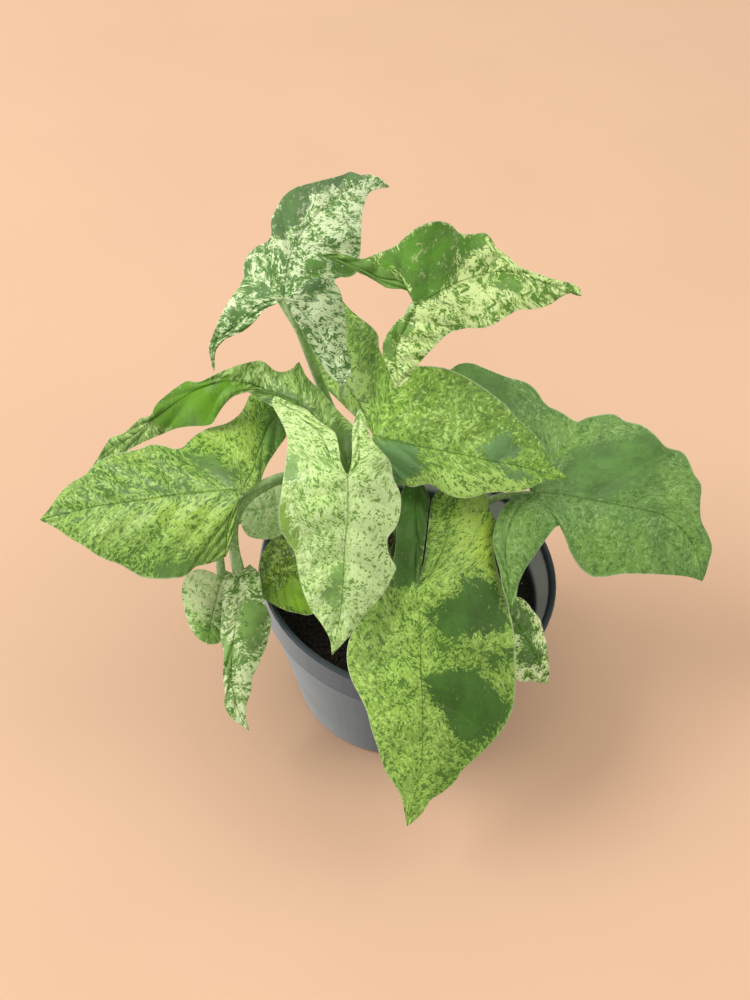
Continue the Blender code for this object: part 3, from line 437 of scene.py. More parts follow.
def leaf_grid(leaf):
    pixels, lifts, veins, triangles, known = [], [], [], [], {}

    def add_point(pixel, lift, vein):
        key = tuple(round(float(value), 3) for value in pixel)
        if key not in known:
            known[key] = len(pixels)
            pixels.append(pixel)
            lifts.append(lift)
            veins.append(vein)
        return known[key]

    length = way_along(smooth_curve(leaf.rib, LENGTH_STEPS))[-1] / PIXELS_PER_CM
    for side, sign in ((leaf.one, 1), (leaf.other, -1)):
        count = SIDE_VEINS if side.lobe else PLAIN_VEINS
        for rib, edge, shares, reach, turned in side_strips(leaf, side):
            grid = []
            for row, (inner, outer) in enumerate(zip(rib, edge)):
                share, along = (blend(*ends, 0, len(rib) - 1, row) for ends in (shares, reach))
                swing = math.sin(TURN * side.waves * share + sign)
                width = float(np.linalg.norm(outer - inner))
                line = []
                for step in range(STEPS + 1):
                    out = step / STEPS
                    vein = (along * length, sign * turned * out * width / PIXELS_PER_CM, out, along)
                    lift = relief(share, along, out, swing, count, width)
                    line.append(add_point(inner * (1 - out) + outer * out, lift, vein))
                grid.append(line)
            for near, far in zip(grid, grid[1:]):
                for step in range(STEPS):
                    corners = (near[step], near[step + 1], far[step + 1], far[step])
                    triangles.extend(split_quad(pixels, corners))
    faced = [(a, c, b) if sense(pixels, (a, b, c)) > 0 else (a, b, c) for a, b, c in triangles]
    return Grid(np.array(pixels), np.array(lifts), np.array(veins), faced)


print("grid of one leaf:", len(leaf_grid(front).triangles), "triangles")

# %% [markdown]
# ## From the grid to a closed blade
#
# A blade needs a thickness, or its edge has no light on it and the mesh isn't closed. Each
# point is doubled: one copy goes out along the normal, one goes in, and a narrow wall joins
# the two along the margin. The real blade thins towards its margin, and so does this one.
# Each point also keeps numbers for the paint: its place among the veins, and how deep it
# lies inside each kind of patch.

# %% Helpers for meshes
def unit(vectors):
    return vectors / np.linalg.norm(vectors, axis=-1, keepdims=True)


def point_normals(points, triangles):
    corners = np.array(triangles)
    first, second, third = (points[corners[:, k]] for k in range(3))
    faces = np.cross(second - first, third - first)
    normals = np.zeros_like(points)
    for k in range(3):
        np.add.at(normals, corners[:, k], faces)
    return unit(normals)


def border_edges(triangles):
    directed = {(t[k], t[(k + 1) % 3]) for t in triangles for k in range(3)}
    return [(start, end) for start, end in sorted(directed) if (end, start) not in directed]


def new_mesh(name, vertices, faces, *materials):
    mesh = bpy.data.meshes.new(name)
    mesh.from_pydata([tuple(vertex) for vertex in vertices], [], faces)
    for material in materials:
        mesh.materials.append(material)
    return mesh


def new_piece(name, data):
    item = bpy.data.objects.new(name, data)
    bpy.context.scene.collection.objects.link(item)
    return item


def store(mesh, name, values):
    """Keeps a number for each point, which a material can read by its name."""
    layer = mesh.attributes.new(name, "FLOAT", "POINT")
    layer.data.foreach_set("value", np.asarray(values, np.float32))


# %% Closed blades
BLADE, MARGIN_BLADE = 0.0007, 0.0004
CREASE = math.radians(60)
NO_PATCH = -9.0
# The lime patches are partly the leaf's own yellow-green and partly painted light on places in shade; the
# dense patches have more dark flecks and are partly painted shade.
PATCH_KINDS = ("deep", "bright", "lime", "dense")
VEIN_KEYS = ("vein_along", "vein_out", "rib_to_edge", "joint_to_tip")


def patch_depth(pixels, polygon):
    """How deep each pixel lies inside a polygon, in centimetres; outside, it is negative."""
    corners = np.asarray(polygon)
    inside = np.zeros(len(pixels), bool)
    nearest = np.full(len(pixels), np.inf)
    for start, end in zip(corners, np.roll(corners, -1, axis=0)):
        side = end - start
        share = np.clip(((pixels - start) @ side) / (side @ side), 0.0, 1.0)
        nearest = np.minimum(nearest, np.linalg.norm(pixels - start - share[:, None] * side, axis=1))
        crosses = (start[1] > pixels[:, 1]) != (end[1] > pixels[:, 1])
        level = start[0] + (pixels[:, 1] - start[1]) * side[0] / (side[1] if side[1] else 1.0)
        inside ^= crosses & (pixels[:, 0] < level)
    return np.where(inside, nearest, -nearest) / PIXELS_PER_CM


def build_blade(name, leaf, patches, material):
    grid = leaf_grid(leaf)
    flat = points_at_heights(grid.pixels, height_field(leaf.heights)(grid.pixels))
    points = flat - unit(sight_directions(grid.pixels)) * grid.lifts[:, None]
    normals = point_normals(points, grid.triangles)
    half = (BLADE + (MARGIN_BLADE - BLADE) * grid.veins[:, 2] ** 3)[:, None] / 2
    count = len(points)
    faces = grid.triangles + [(a + count, c + count, b + count) for a, b, c in grid.triangles]
    for start, end in border_edges(grid.triangles):
        faces.append((start, start + count, end + count, end))
    mesh = new_mesh(name, np.vstack([points + normals * half, points - normals * half]), faces, material)
    for key, values in zip(VEIN_KEYS, grid.veins.T):
        store(mesh, key, np.tile(values, 2))
    for kind in PATCH_KINDS:
        depths = [patch_depth(grid.pixels, polygon) for polygon in patches.get(kind, [])]
        store(mesh, kind, np.tile(np.max([np.full(count, NO_PATCH)] + depths, axis=0), 2))
    store(mesh, "underside", np.repeat([0.0, 1.0], count))
    mesh.shade_smooth()
    mesh.set_sharp_from_angle(angle=CREASE)
    return new_piece(name + "_blade", mesh)


# %% [markdown]
# ## Paint that follows the veins
#
# Every finish here is a small tree of nodes. Two helpers add a node with its inputs, each
# a number or another node's output. The class below only saves writing: each method adds
# one node and hands back its output, so a finish reads like a recipe. Colours are given as
# a screen shows them, two hexadecimal digits a channel, and are turned into light.

# %% Helpers for node trees
SCREEN_DARK, SCREEN_SLOPE, SCREEN_SHIFT, SCREEN_POWER = 0.04045, 12.92, 0.055, 2.4


def wire(tree, socket, value):
    if isinstance(value, bpy.types.NodeSocket):
        tree.links.new(value, socket)
    else:
        socket.default_value = value


def add_node(tree, kind, inputs=(), **settings):
    """Adds one node. Its inputs go by name, or by number where a node has a name twice."""
    node = tree.nodes.new(kind)
    for key, value in settings.items():
        setattr(node, key, value)
    for key, value in dict(inputs).items():
        wire(tree, node.inputs[key], value)
    return node


def ramp(tree, way, value, low, high, start, end):
    """Start while the value is below low, end once it is above high."""
    return add_node(tree, "ShaderNodeMapRange", {
        "Value": value, "From Min": low, "From Max": high, "To Min": start, "To Max": end},
        interpolation_type=way).outputs["Result"]


def light(colour, share=1.0):
    """A screen colour, made lighter or darker by a share, as linear light."""
    parts = [value * share / 255.0 for value in bytes.fromhex(colour)]
    return (*(part / SCREEN_SLOPE if part <= SCREEN_DARK else
              ((part + SCREEN_SHIFT) / (1.0 + SCREEN_SHIFT)) ** SCREEN_POWER for part in parts), 1.0)


print("a mid green as light:", [round(value, 3) for value in light("82A550")])

# %% A finish and its nodes
# A Mix node has a set of sockets for each kind: the numbers of A, of B and of the result
MIX_SOCKETS = {"RGBA": (6, 7, 2), "VECTOR": (4, 5, 1)}
NOISE_LOW, NOISE_HIGH = 0.3, 0.7


class Finish:
    def __init__(self, name):
        self.material = bpy.data.materials.new(name)
        self.material.use_nodes = True
        self.tree = self.material.node_tree
        self.shader = self.tree.nodes["Principled BSDF"]

    def node(self, kind, inputs=(), **settings):
        return add_node(self.tree, kind, inputs, **settings)

    def set(self, **values):
        """Sets or links the shader's own inputs, such as base_color or roughness."""
        for key, value in values.items():
            name = key.replace("_", " ").title().replace("Ior", "IOR")
            wire(self.tree, self.shader.inputs[name], value)

    def number(self, name):
        return self.node("ShaderNodeAttribute", attribute_name=name).outputs["Fac"]

    def place(self, scale=(1.0, 1.0, 1.0)):
        """The point's own place on the object, in metres, times a scale."""
        here = self.node("ShaderNodeTexCoord").outputs["Object"]
        return self.node("ShaderNodeMapping", {"Vector": here, "Scale": scale}).outputs["Vector"]

    def join(self, x, y, z):
        return self.node("ShaderNodeCombineXYZ", {"X": x, "Y": y, "Z": z}).outputs["Vector"]

    def apart(self, vector):
        return self.node("ShaderNodeSeparateXYZ", {"Vector": vector}).outputs.values()

    def math(self, operation, *values):
        inputs = enumerate(values)
        return self.node("ShaderNodeMath", inputs, operation=operation).outputs["Value"]

    def weigh(self, *parts):
        """The sum of several values, each times its weight."""
        total = 0.0
        for value, weight in parts:
            total = self.math("MULTIPLY_ADD", value, weight, total)
        return total

    def noise(self, vector, scale, detail=2.0, roughness=0.5, distortion=0.0):
        return self.node("ShaderNodeTexNoise", {
            "Vector": vector, "Scale": scale, "Detail": detail, "Roughness": roughness,
            "Distortion": distortion}).outputs["Fac"]

    def grains(self, vector, scale):
        """Small cells: the middle of each cell, and a random number of its own."""
        cell = self.node("ShaderNodeTexVoronoi", {"Vector": vector, "Scale": scale})
        colour = self.node("ShaderNodeSeparateColor", {"Color": cell.outputs["Color"]})
        return cell.outputs["Position"], colour.outputs["Red"]

    def step(self, value, low, high, start=0.0, end=1.0):
        """A soft step: start below low, end above high."""
        return ramp(self.tree, "SMOOTHSTEP", value, low, high, start, end)

    def uneven(self, noise, low, high):
        """A value that drifts between two others, as a noise does."""
        return self.step(noise, NOISE_LOW, NOISE_HIGH, low, high)

    def mix(self, share, first, second, kind="RGBA"):
        a, b, result = MIX_SOCKETS[kind]
        return self.node("ShaderNodeMix", {0: share, a: first, b: second}, data_type=kind).outputs[result]

    def over(self, colour, tone, value, low, high, start=0.0, end=1.0):
        """Lays a tone over a colour: start of it below low, end of it above high."""
        return self.mix(self.step(value, low, high, start, end), colour, light(tone))

    def bump(self, height, distance, strength, **normal):
        self.set(normal=self.node("ShaderNodeBump", {
            "Height": height, "Distance": distance, "Strength": strength, **normal}).outputs["Normal"])


print("ways to add a node:", [name for name in vars(Finish) if not name.startswith("_")])

# %% [markdown]
# ## The mottling of each leaf
#
# No two leaves of this plant are alike. Some are cream with a green net, some lime with
# dark flecks, and one is nearly all green. Each leaf here has a skin: its light, middle
# and dark greens, the tones of its deep, bright and lime patches, how much of it is dark
# and light, and how long and how large its flecks are. Two skins are made lighter than the
# leaves' own green, as painted light where other leaves shade them. A patch is drawn by a
# few corner points, and the paint frays its border along the veins. A lime patch is partly
# the leaf's own yellow-green and partly painted light on places in shade. A dense patch has
# more dark flecks, and is partly painted shade where a leaf folds away from the light. Two
# deep polygons are painted shade as well.

# %% Skins
Skin = namedtuple("Skin", "light middle dark deep bright lime dark_below light_above streak size")

SKINS = {
    "leaf_back_left": Skin(*"E2F4C2 A0C07C 5C8640 567C42 548622 E2F4C2".split(), 0.474, 0.498, 0.48, 6.5),
    "leaf_back_right": Skin(*"DEF4A4 ACCC6E 628E2E 68923E 508714 DEF4A4".split(), 0.463, 0.487, 0.4, 6.2),
    "leaf_middle": Skin(*"B4D870 88B042 608A30 608850 C4E678 C4E678".split(), 0.464, 0.535, 0.42, 10.5),
    "leaf_right": Skin(*"92BA6A 729C4B 567F34 5A843A 7EA644 7EA644".split(), 0.452, 0.556, 0.55, 9.0),
    "leaf_front_left": Skin(*"DEF8AE C2E28A 7AA44C 80AA56 8CB638 DEF8AE".split(), 0.455, 0.52, 0.5, 9.0),
    "leaf_left": Skin(*"B2D26E 8FB550 567E2E 60863C A0C63E A0C63E".split(), 0.468, 0.535, 0.42, 10.0),
    "leaf_left_high": Skin(*"BAD882 8CB056 5A8032 587C32 5E920C BAD882".split(), 0.46, 0.53, 0.22, 9.0),
    "leaf_hanging": Skin(*"E8FABC B4D480 689240 7CA450 78A03C E8FABC".split(), 0.474, 0.504, 0.42, 7.0),
    # This skin and the next are made lighter than the leaves' own green: painted light where other leaves
    # shade them.
    "leaf_hanging_small": Skin(*"F0FFC0 D0FA96 88B654 96C45C 78A03C F0FFC0".split(), 0.45, 0.486, 0.48, 8.0),
    "leaf_left_inner": Skin(*"F4FFCC D8F8A8 98C26E A4CC6A 78A03C F4FFCC".split(), 0.455, 0.53, 0.5, 9.0),
    "leaf_low_left": Skin(*"C0DC70 80A42E 4C7210 6A9218 7AA61A C0DC70".split(), 0.475, 0.525, 0.48, 8.0),
    "leaf_front": Skin(*"B8DA6C 98BE50 5C842C 436E24 B8D854 B8D854".split(), 0.46, 0.53, 0.5, 11.0),
    "leaf_low_right": Skin(*"F0FCBC A6CE5C 4C781C 467418 78963C F0FCBC".split(), 0.462, 0.488, 0.55, 4.6),
}
print("skins:", len(SKINS))

# %% Patches
PATCHES = {
    "leaf_back_left": {
        "lime": "290,306 318,292 340,296 348,330 352,372 342,390 318,358",
        "dense": """215,340 240,300 262,296 270,302 240,325 220,360 | 236,262 264,244 288,252
        292,290 262,300 244,296""",
        "deep": """268,240 273,212 285,190 300,180 317,178 343,168 366,174 352,181 338,187 322,190
        310,195 304,203 303,214 299,225 291,231 280,236 | 300,284 318,279 330,284 322,293 306,296""",
        "bright": """331,261 342,262 352,266 357,272 350,277 339,276 333,270 | 306,262 318,258
        326,264 318,272 308,272""",
    },
    "leaf_back_right": {
        "dense": """318,250 362,256 396,262 412,292 380,286 346,268 | 470,262 500,256 560,286
        540,292 500,284 474,276 | 384,350 392,326 412,314 418,330 400,356""",
        "deep": """318,248 345,251 364,257 384,266 400,280 406,291 384,290 360,277 334,267 | 381,352
        386,330 400,320 410,315 409,327 397,340 391,356 | 492,280 510,276 527,281 520,290 500,289""",
        "bright": """372,262 393,248 408,232 425,222 440,218 452,223 456,235 452,247 455,260 457,270
        452,282 440,292 430,300 420,305 414,305 411,292 405,280 392,270 | 458,236 474,232 490,234
        491,242 475,250 467,260 460,267""",
    },
    "leaf_middle": {
        "dense": "452,372 500,384 540,420 566,470 520,460 470,420 | 345,392 368,400 376,436 366,425",
        "deep": """374,441 392,440 414,446 420,460 424,470 412,477 398,486 388,478 380,460 | 482,450
        495,439 510,440 517,447 512,457 495,462 485,459 | 505,469 522,470 536,474 532,480 517,481
        507,477""",
        "lime": """320,320 332,318 352,345 366,385 372,420 362,414 345,400 330,372 | 392,486 420,470
        470,472 535,480 510,494 470,498 430,494""",
    },
    "leaf_right": {
        "deep": """575,450 620,440 655,432 670,450 650,480 605,500 570,490 563,470 | 450,365 470,363
        500,378 520,398 510,410 480,395 455,385""",
        "lime": """540,420 560,418 577,424 584,438 570,455 555,467 543,450 | 577,437 592,427 615,425
        619,432 605,440 585,449 | 574,540 600,520 650,540 660,572 610,576 585,574 | 655,470 690,470
        700,520 706,560 690,560 670,520 | 498,530 520,500 540,505 530,550 515,590 505,580""",
    },
    "leaf_front_left": {
        "dense": "286,440 306,450 312,500 296,520 283,490",
        "lime": "352,485 380,470 400,500 396,570 366,612 348,600",
        "deep": """324,592 330,578 344,566 345,580 343,598 336,606 328,609 | 284,456 293,460 296,475
        290,484 284,475 | 320,456 327,458 332,468 326,468""",
        "bright": "278,505 284,503 290,525 300,548 296,552 284,540",
    },
    # The third deep polygon, on the upper lobe's inner half, is painted shade where the lobe folds away from
    # the light.
    "leaf_left": {
        "dense": """46,520 90,470 150,450 205,452 240,480 180,496 100,506 | 80,545 120,560 180,560
        210,552 170,576 120,570""",
        "deep": """190,457 204,455 217,457 233,470 243,483 230,483 210,473 193,463 | 153,572 163,562
        177,560 188,551 190,568 177,582 157,582 | 262,480 270,458 284,430 288,405 276,398 268,412
        262,440""",
        "lime": """205,425 240,400 256,400 262,430 250,465 225,462 200,448 | 150,500 200,505 230,510
        200,545 160,530""",
    },
    "leaf_left_high": {
        "deep": """260,388 285,390 305,402 322,418 300,410 278,402 245,397 | 330,430 345,426 358,440
        350,478 338,470""",
        "bright": """148,420 163,396 180,383 200,379 222,382 248,386 226,398 218,412 213,424 192,430
        170,427 153,423""",
    },
    "leaf_hanging": {
        "deep": """240,607 252,602 262,604 270,617 262,640 250,652 240,636 | 226,640 235,650 237,668
        228,676 224,655""",
    },
    "leaf_hanging_small": {
        "dense": "186,606 200,616 222,616 222,644 196,640",
        "deep": "196,624 218,628 220,644 200,642",
        "lime": "184,570 226,570 232,604 206,612 184,604",
    },
    "leaf_low_left": {
        "bright": "256,584 278,584 300,570 322,588 320,612 300,617 276,608",
    },
    # On this leaf the bright and lime patches are partly painted light where the leaf lies in shade, and the
    # last deep polygon, on the left lobe, is painted shade.
    "leaf_front": {
        "dense": """424,590 470,600 500,640 500,670 440,668 424,640 | 430,735 490,745 470,772
        440,790 426,770 | 358,660 376,650 400,740 395,780 | 428,478 458,480 462,520 450,560 428,590
        420,570""",
        "deep": """427,613 442,604 458,588 464,577 480,573 492,580 502,600 511,628 497,628 486,634
        474,632 456,640 442,630 430,622 | 424,676 440,672 462,666 478,672 492,686 508,702 508,722
        494,732 484,742 464,740 450,728 438,706 428,690 | 483,655 513,652 514,665 493,667 | 388,478
        428,474 432,497 427,545 419,582 392,588 388,540""",
        "bright": "478,512 493,520 500,560 492,574 480,556",
        "lime": "452,500 484,492 500,520 502,570 470,566 456,540",
    },
    "leaf_low_right": {
        "deep": """500,612 518,602 531,612 537,628 528,640 512,637 500,632 | 518,650 531,641 543,650
        541,664 528,670 517,662""",
    },
}
PATCHES = {name: {kind: [read(polygon) for polygon in text.split("|")] for kind, text in kinds.items()}
           for name, kinds in PATCHES.items()}
print("patches:", sum(len(polygons) for kinds in PATCHES.values() for polygons in kinds.values()))

# %% [markdown]
# ## The finish of a leaf
#
# The ground is two greens that drift into each other. Small cells, drawn out along the side
# veins, each take one tone from noise: the lightest become pale paint, the darkest become
# flecks, and the finest specks lie on top. The whole patches come next, with frayed borders
# and a few pale islands, then the veins and the thin pale line of the margin. The underside
# is greyer. The surface has a waxy, slightly uneven shine, and the flesh lets some light in.

# %% Leaf finish
GRAINS_PER_CM = 26.0
WANDER, EVEN_SHIFT, STREAK_SHIFT = 0.6, 1.9, 3.7
FINE_SIZE, BROAD_SIZE, SPECK_SIZE = 0.9, 0.34, 1.6
# A noise is a scale, a detail, a roughness and a distortion; here the skin gives some scales
DRIFT_NOISE, WANDER_NOISE, SHINE_NOISE, TISSUE_NOISE = (0.8, 3.0, 0.55), (1.3, 1.0), (90.0, 3.0), (1400.0,)
FINE_NOISE, BROAD_NOISE, SPECK_NOISE = (4.0, 0.68, 0.1), (3.0, 0.6, 0.3), (3.0, 0.6)
DRIFT_SHARE, FINE_SHARE, BROAD_SHARE, GRAIN_SHARE = 0.16, 0.62, 0.22, 0.10
FRAY_FINE, FRAY_BROAD, FRAY_MIDDLE = 1.6, 1.8, 1.7
DENSER_AND_SHADED, LIME_AND_LIT_LIFT, LIME_AND_LIT_COVER = 0.030, 0.022, 0.65
PATCH_COVER, ISLAND_COVER, SPECK_COVER = 0.94, 0.6, 0.7
# Where a soft step starts and ends; light, dark and island are counted from the skin's own shares
CLOUD_EDGE, SPECK_EDGE, VEIN_EDGE, RIM_EDGE = (0.40, 0.60), (0.37, 0.41), (0.02, 0.10), (0.980, 0.996)
DENSE_AND_SHADED_EDGE, LIME_AND_LIT_EDGE, PATCH_EDGE = (-0.30, 0.30), (-0.25, 0.25), (-0.03, 0.06)
LIGHT_EDGE, DARK_EDGE, ISLAND_EDGE = (-0.014, 0.028), (-0.026, 0.006), (0.08, 0.13)
CLOUD_SHARES = (0.6, 0.4)
LIGHTER, DARKER, SPECK_SHADE, VEIN_SHADE = (1.05, 1.12), (0.93, 0.90), 0.92, 1.06
RELIEF_SHARES, GROOVE_DEPTH = (0.55, 1.0, 0.20, 0.5, 0.10), 0.5
MIDRIB_HALF, MIDRIB_GROOVE, RIB_TAPER = 0.05, 0.10, 1.2
SIDE_VEIN_COVER, MIDRIB_COVER, RIM_COVER, UNDERSIDE_COVER = 0.16, 0.42, 0.6, 0.45
MARGIN_TONE, UNDERSIDE_TONE = "CED4B0", "96B480"


def mottled(paint, skin, number, along, out):
    """The ground with its flecks and patches, and the two noises that they come from."""
    even = paint.join(along, out, EVEN_SHIFT * number)
    drift = paint.noise(even, *DRIFT_NOISE)
    streaks = paint.join(paint.weigh((paint.noise(even, *WANDER_NOISE), WANDER), (along, 1.0)),
                         paint.math("MULTIPLY", out, skin.streak), STREAK_SHIFT * number)
    middle, chance = paint.grains(streaks, GRAINS_PER_CM)
    fine = paint.noise(middle, skin.size * FINE_SIZE, *FINE_NOISE)
    broad = paint.noise(streaks, skin.size * BROAD_SIZE, *BROAD_NOISE)
    fray = paint.math("SUBTRACT", paint.weigh((fine, FRAY_FINE), (broad, FRAY_BROAD)), FRAY_MIDDLE)
    depth = {kind: paint.math("ADD", paint.number(kind), fray) for kind in PATCH_KINDS}
    # Dense patches: more dark flecks, partly painted shade where a leaf folds away from the light.
    dense = paint.step(depth["dense"], *DENSE_AND_SHADED_EDGE, 0.0, DENSER_AND_SHADED)
    # The lime tone: partly the leaf's own yellow-green, partly painted light where the leaf lies in shade.
    lime = paint.step(depth["lime"], *LIME_AND_LIT_EDGE, 0.0, LIME_AND_LIT_COVER)
    tone = paint.weigh((drift, DRIFT_SHARE), (fine, FINE_SHARE), (broad, BROAD_SHARE),
                       (paint.math("SUBTRACT", chance, 0.5), GRAIN_SHARE), (dense, -1.0), (lime, LIME_AND_LIT_LIFT))
    clouds = paint.step(paint.weigh(*zip((drift, fine), CLOUD_SHARES)), *CLOUD_EDGE)
    colour = paint.mix(clouds, light(skin.middle, LIGHTER[0]), light(skin.middle, DARKER[0]))
    colour = paint.mix(lime, colour, light(skin.lime))
    colour = paint.over(colour, skin.light, tone, *(skin.light_above + edge for edge in LIGHT_EDGE))
    colour = paint.over(colour, skin.dark, tone, *(skin.dark_below + edge for edge in DARK_EDGE), 1.0, 0.0)
    specks = paint.step(paint.noise(streaks, skin.size * SPECK_SIZE, *SPECK_NOISE),
                        *SPECK_EDGE, SPECK_COVER, 0.0)
    colour = paint.mix(specks, colour, light(skin.dark, SPECK_SHADE))
    islands = paint.step(tone, *(skin.light_above + edge for edge in ISLAND_EDGE), PATCH_COVER, ISLAND_COVER)
    for kind, tint in (("deep", skin.deep), ("bright", skin.bright)):
        cover = paint.math("MULTIPLY", paint.step(depth[kind], *PATCH_EDGE), islands)
        shade = paint.mix(clouds, light(tint, LIGHTER[1]), light(tint, DARKER[1]))
        colour = paint.mix(cover, colour, shade)
    return colour, fine, broad


def leaf_finish(name, skin, number):
    paint = Finish(name + "_skin")
    along, out, edge, reach = (paint.number(key) for key in VEIN_KEYS)
    colour, fine, broad = mottled(paint, skin, number, along, out)
    phase = paint.weigh((edge, -VEIN_LEAN), (reach, SIDE_VEINS))
    ripple = paint.math("ABSOLUTE", paint.math("SINE", paint.math("MULTIPLY", phase, math.pi)))
    side_vein = paint.step(ripple, *VEIN_EDGE, SIDE_VEIN_COVER, 0.0)
    from_rib = paint.math("DIVIDE", paint.math("ABSOLUTE", out), paint.math("SUBTRACT", RIB_TAPER, reach))
    midrib = paint.step(from_rib, 0.3 * MIDRIB_HALF, MIDRIB_HALF, MIDRIB_COVER, 0.0)
    colour = paint.mix(paint.math("MAXIMUM", side_vein, midrib), colour, light(skin.dark, VEIN_SHADE))
    colour = paint.over(colour, MARGIN_TONE, edge, *RIM_EDGE, 0.0, RIM_COVER)
    below = paint.math("MULTIPLY", paint.number("underside"), UNDERSIDE_COVER)
    tissue = paint.noise(paint.place(), *TISSUE_NOISE)
    groove = paint.step(from_rib, 0.0, MIDRIB_GROOVE, 0.0, GROOVE_DEPTH)
    height = paint.weigh(*zip((ripple, groove, fine, broad, tissue), RELIEF_SHARES))
    paint.bump(height, distance=0.0010, strength=0.85)
    shine = paint.noise(paint.place(), *SHINE_NOISE)
    paint.set(base_color=paint.mix(below, colour, light(UNDERSIDE_TONE)),
              roughness=paint.step(shine, low=0.25, high=0.75, start=0.36, end=0.50),
              specular_ior_level=0.40, subsurface_weight=0.15, subsurface_scale=0.0012,
              subsurface_radius=(0.7, 1.0, 0.25))
    return paint.material


# %% Build the thirteen blades
blades = {}
for number, (name, leaf) in enumerate(LEAVES.items()):
    skin = leaf_finish(name, SKINS[name], number + 1.0)
    blades[name] = build_blade(name, leaf, PATCHES.get(name, {}), skin)
print("blades:", len(blades), "triangles:",
      sum(len(p.vertices) - 2 for item in blades.values() for p in item.data.polygons))

# %% [markdown]
# ## Stalks by Geometry Nodes
#
# A leaf stalk is a round rod that follows a path: thick and sheathed where it clasps the
# stem, thin in its middle, a little thicker at the joint. Geometry Nodes suit that well.
# The script lays the path, with a width at each point, and the tree turns it into a tube.
# One tree with named inputs serves all stalks, and the little roots of the stems as well.

# %% Helpers for Geometry Nodes
def socket_id(tree, name):
    """A modifier's input is set by its identifier, which the tree's interface knows."""
    return [item.identifier for item in tree.interface.items_tree
            if item.name == name and item.in_out == "INPUT"][0]


def new_tree(name, **inputs):
    """A tree with named inputs, each a kind and a first value; hands back its input's sockets."""
    tree = bpy.data.node_groups.new(name, "GeometryNodeTree")
    tree.interface.new_socket("Geometry", in_out="INPUT", socket_type="NodeSocketGeometry")
    for key, (kind, value) in inputs.items():
        socket = tree.interface.new_socket(key, in_out="INPUT", socket_type="NodeSocket" + kind)
        socket.default_value = value
    tree.interface.new_socket("Material", in_out="INPUT", socket_type="NodeSocketMaterial")
    tree.interface.new_socket("Geometry", in_out="OUTPUT", socket_type="NodeSocketGeometry")
    return tree, tree.nodes.new("NodeGroupInput").outputs


def finish_tree(tree, geometry, given):
    """Ends a tree with real geometry, since instances are dropped from an exported model."""
    real = add_node(tree, "GeometryNodeRealizeInstances", {"Geometry": geometry})
    dress = add_node(tree, "GeometryNodeSetMaterial", {
        "Geometry": real.outputs["Geometry"], "Material": given["Material"]})
    add_node(tree, "NodeGroupOutput", {"Geometry": dress.outputs["Geometry"]})
    return tree


def plain_mesh(item, tree, name, **settings):
    """Runs a tree on an object and keeps only the mesh that it makes."""
    modifier = item.modifiers.new("nodes", "NODES")
    modifier.node_group = tree
    for key, value in settings.items():
        modifier[socket_id(tree, key)] = value
    bpy.context.view_layer.update()
    made = item.evaluated_get(bpy.context.evaluated_depsgraph_get())
    mesh = bpy.data.meshes.new_from_object(made)
    mesh.name = name
    bpy.data.objects.remove(item, do_unlink=True)
    return new_piece(name, mesh)


# %% The tube tree
def tube_tree():
    tree, given = new_tree("tube_along_path", Sides=("Int", 12))
    ring = add_node(tree, "GeometryNodeCurvePrimitiveCircle", {
        "Resolution": given["Sides"], "Radius": 1.0})
    radius = add_node(tree, "GeometryNodeInputRadius")
    sweep = add_node(tree, "GeometryNodeCurveToMesh", {
        "Curve": given["Geometry"], "Profile Curve": ring.outputs["Curve"],
        "Scale": radius.outputs["Radius"], "Fill Caps": True})
    smooth = add_node(tree, "GeometryNodeSetShadeSmooth", {"Geometry": sweep.outputs["Mesh"]})
    return finish_tree(tree, smooth.outputs["Geometry"], given)


def path_object(name, paths):
    """A curve object with one spline for each path of points and radii."""
    curve = bpy.data.curves.new(name, "CURVE")
    curve.dimensions = "3D"
    for points, radii in paths:
        spline = curve.splines.new("POLY")
        spline.points.add(len(points) - 1)
        for mark, point, radius in zip(spline.points, points, radii):
            mark.co = (*point, 1.0)
            mark.radius = radius
    return new_piece(name, curve)


TUBE = tube_tree()
print("tube tree inputs:", [item.name for item in TUBE.interface.items_tree])

# %% [markdown]
# ## The stalks' paths
#
# Each stalk starts on its stem's axis, follows its own marks and ends under the joint, in
# a keel that runs out below the midrib. A joint on the real plant is thicker than the
# stalk, because it turns the leaf to the light.

# %% Stalks
FOOT_RADIUS, STALK_RADIUS, STALK_STEPS, STALK_TAPER = 0.0024, 0.0015, 40, 0.7
SWELLING, SWELLING_AT, SWELLING_LENGTH = 0.25, 0.97, 0.05
KEEL_RADIUS, KEEL_START, KEEL_SINK = 0.0005, 0.8, 0.55
KEEL_SHARE, KEEL_ROWS, KEEL_STEPS = 0.55, 14, 60
BESIDE = 2.0


def stalk_finish():
    paint = Finish("stalk_skin")
    long_streaks = paint.noise(paint.place((1.0, 1.0, 0.25)), scale=900.0, detail=3.0)
    drift = paint.noise(paint.place(), scale=70.0)
    colour = paint.over(light("8EB464"), "AACC84", drift, low=0.35, high=0.65)
    colour = paint.over(colour, "D0E4AA", long_streaks, low=0.52, high=0.60, end=0.7)
    paint.bump(long_streaks, distance=0.0002, strength=0.4)
    paint.set(base_color=colour, roughness=paint.uneven(drift, 0.34, 0.48))
    return paint.material


def under_rib(leaf):
    """Points on the midrib from the joint outwards, and the blade's normals there."""
    rib = smooth_curve(leaf.rib, KEEL_STEPS)[:int(KEEL_STEPS * KEEL_SHARE)]
    rib = rib[np.linspace(0, len(rib) - 1, KEEL_ROWS).astype(int)]
    height = height_field(leaf.heights)
    flat, right_of, below = (points_at_heights(rib + shift, height(rib + shift))
                             for shift in ((0.0, 0.0), (BESIDE, 0.0), (0.0, BESIDE)))
    normals = unit(np.cross(right_of - flat, below - flat))
    facing = (normals * sight_directions(rib)).sum(axis=1)
    return flat, normals * np.where(facing > 0, -1.0, 1.0)[:, None]


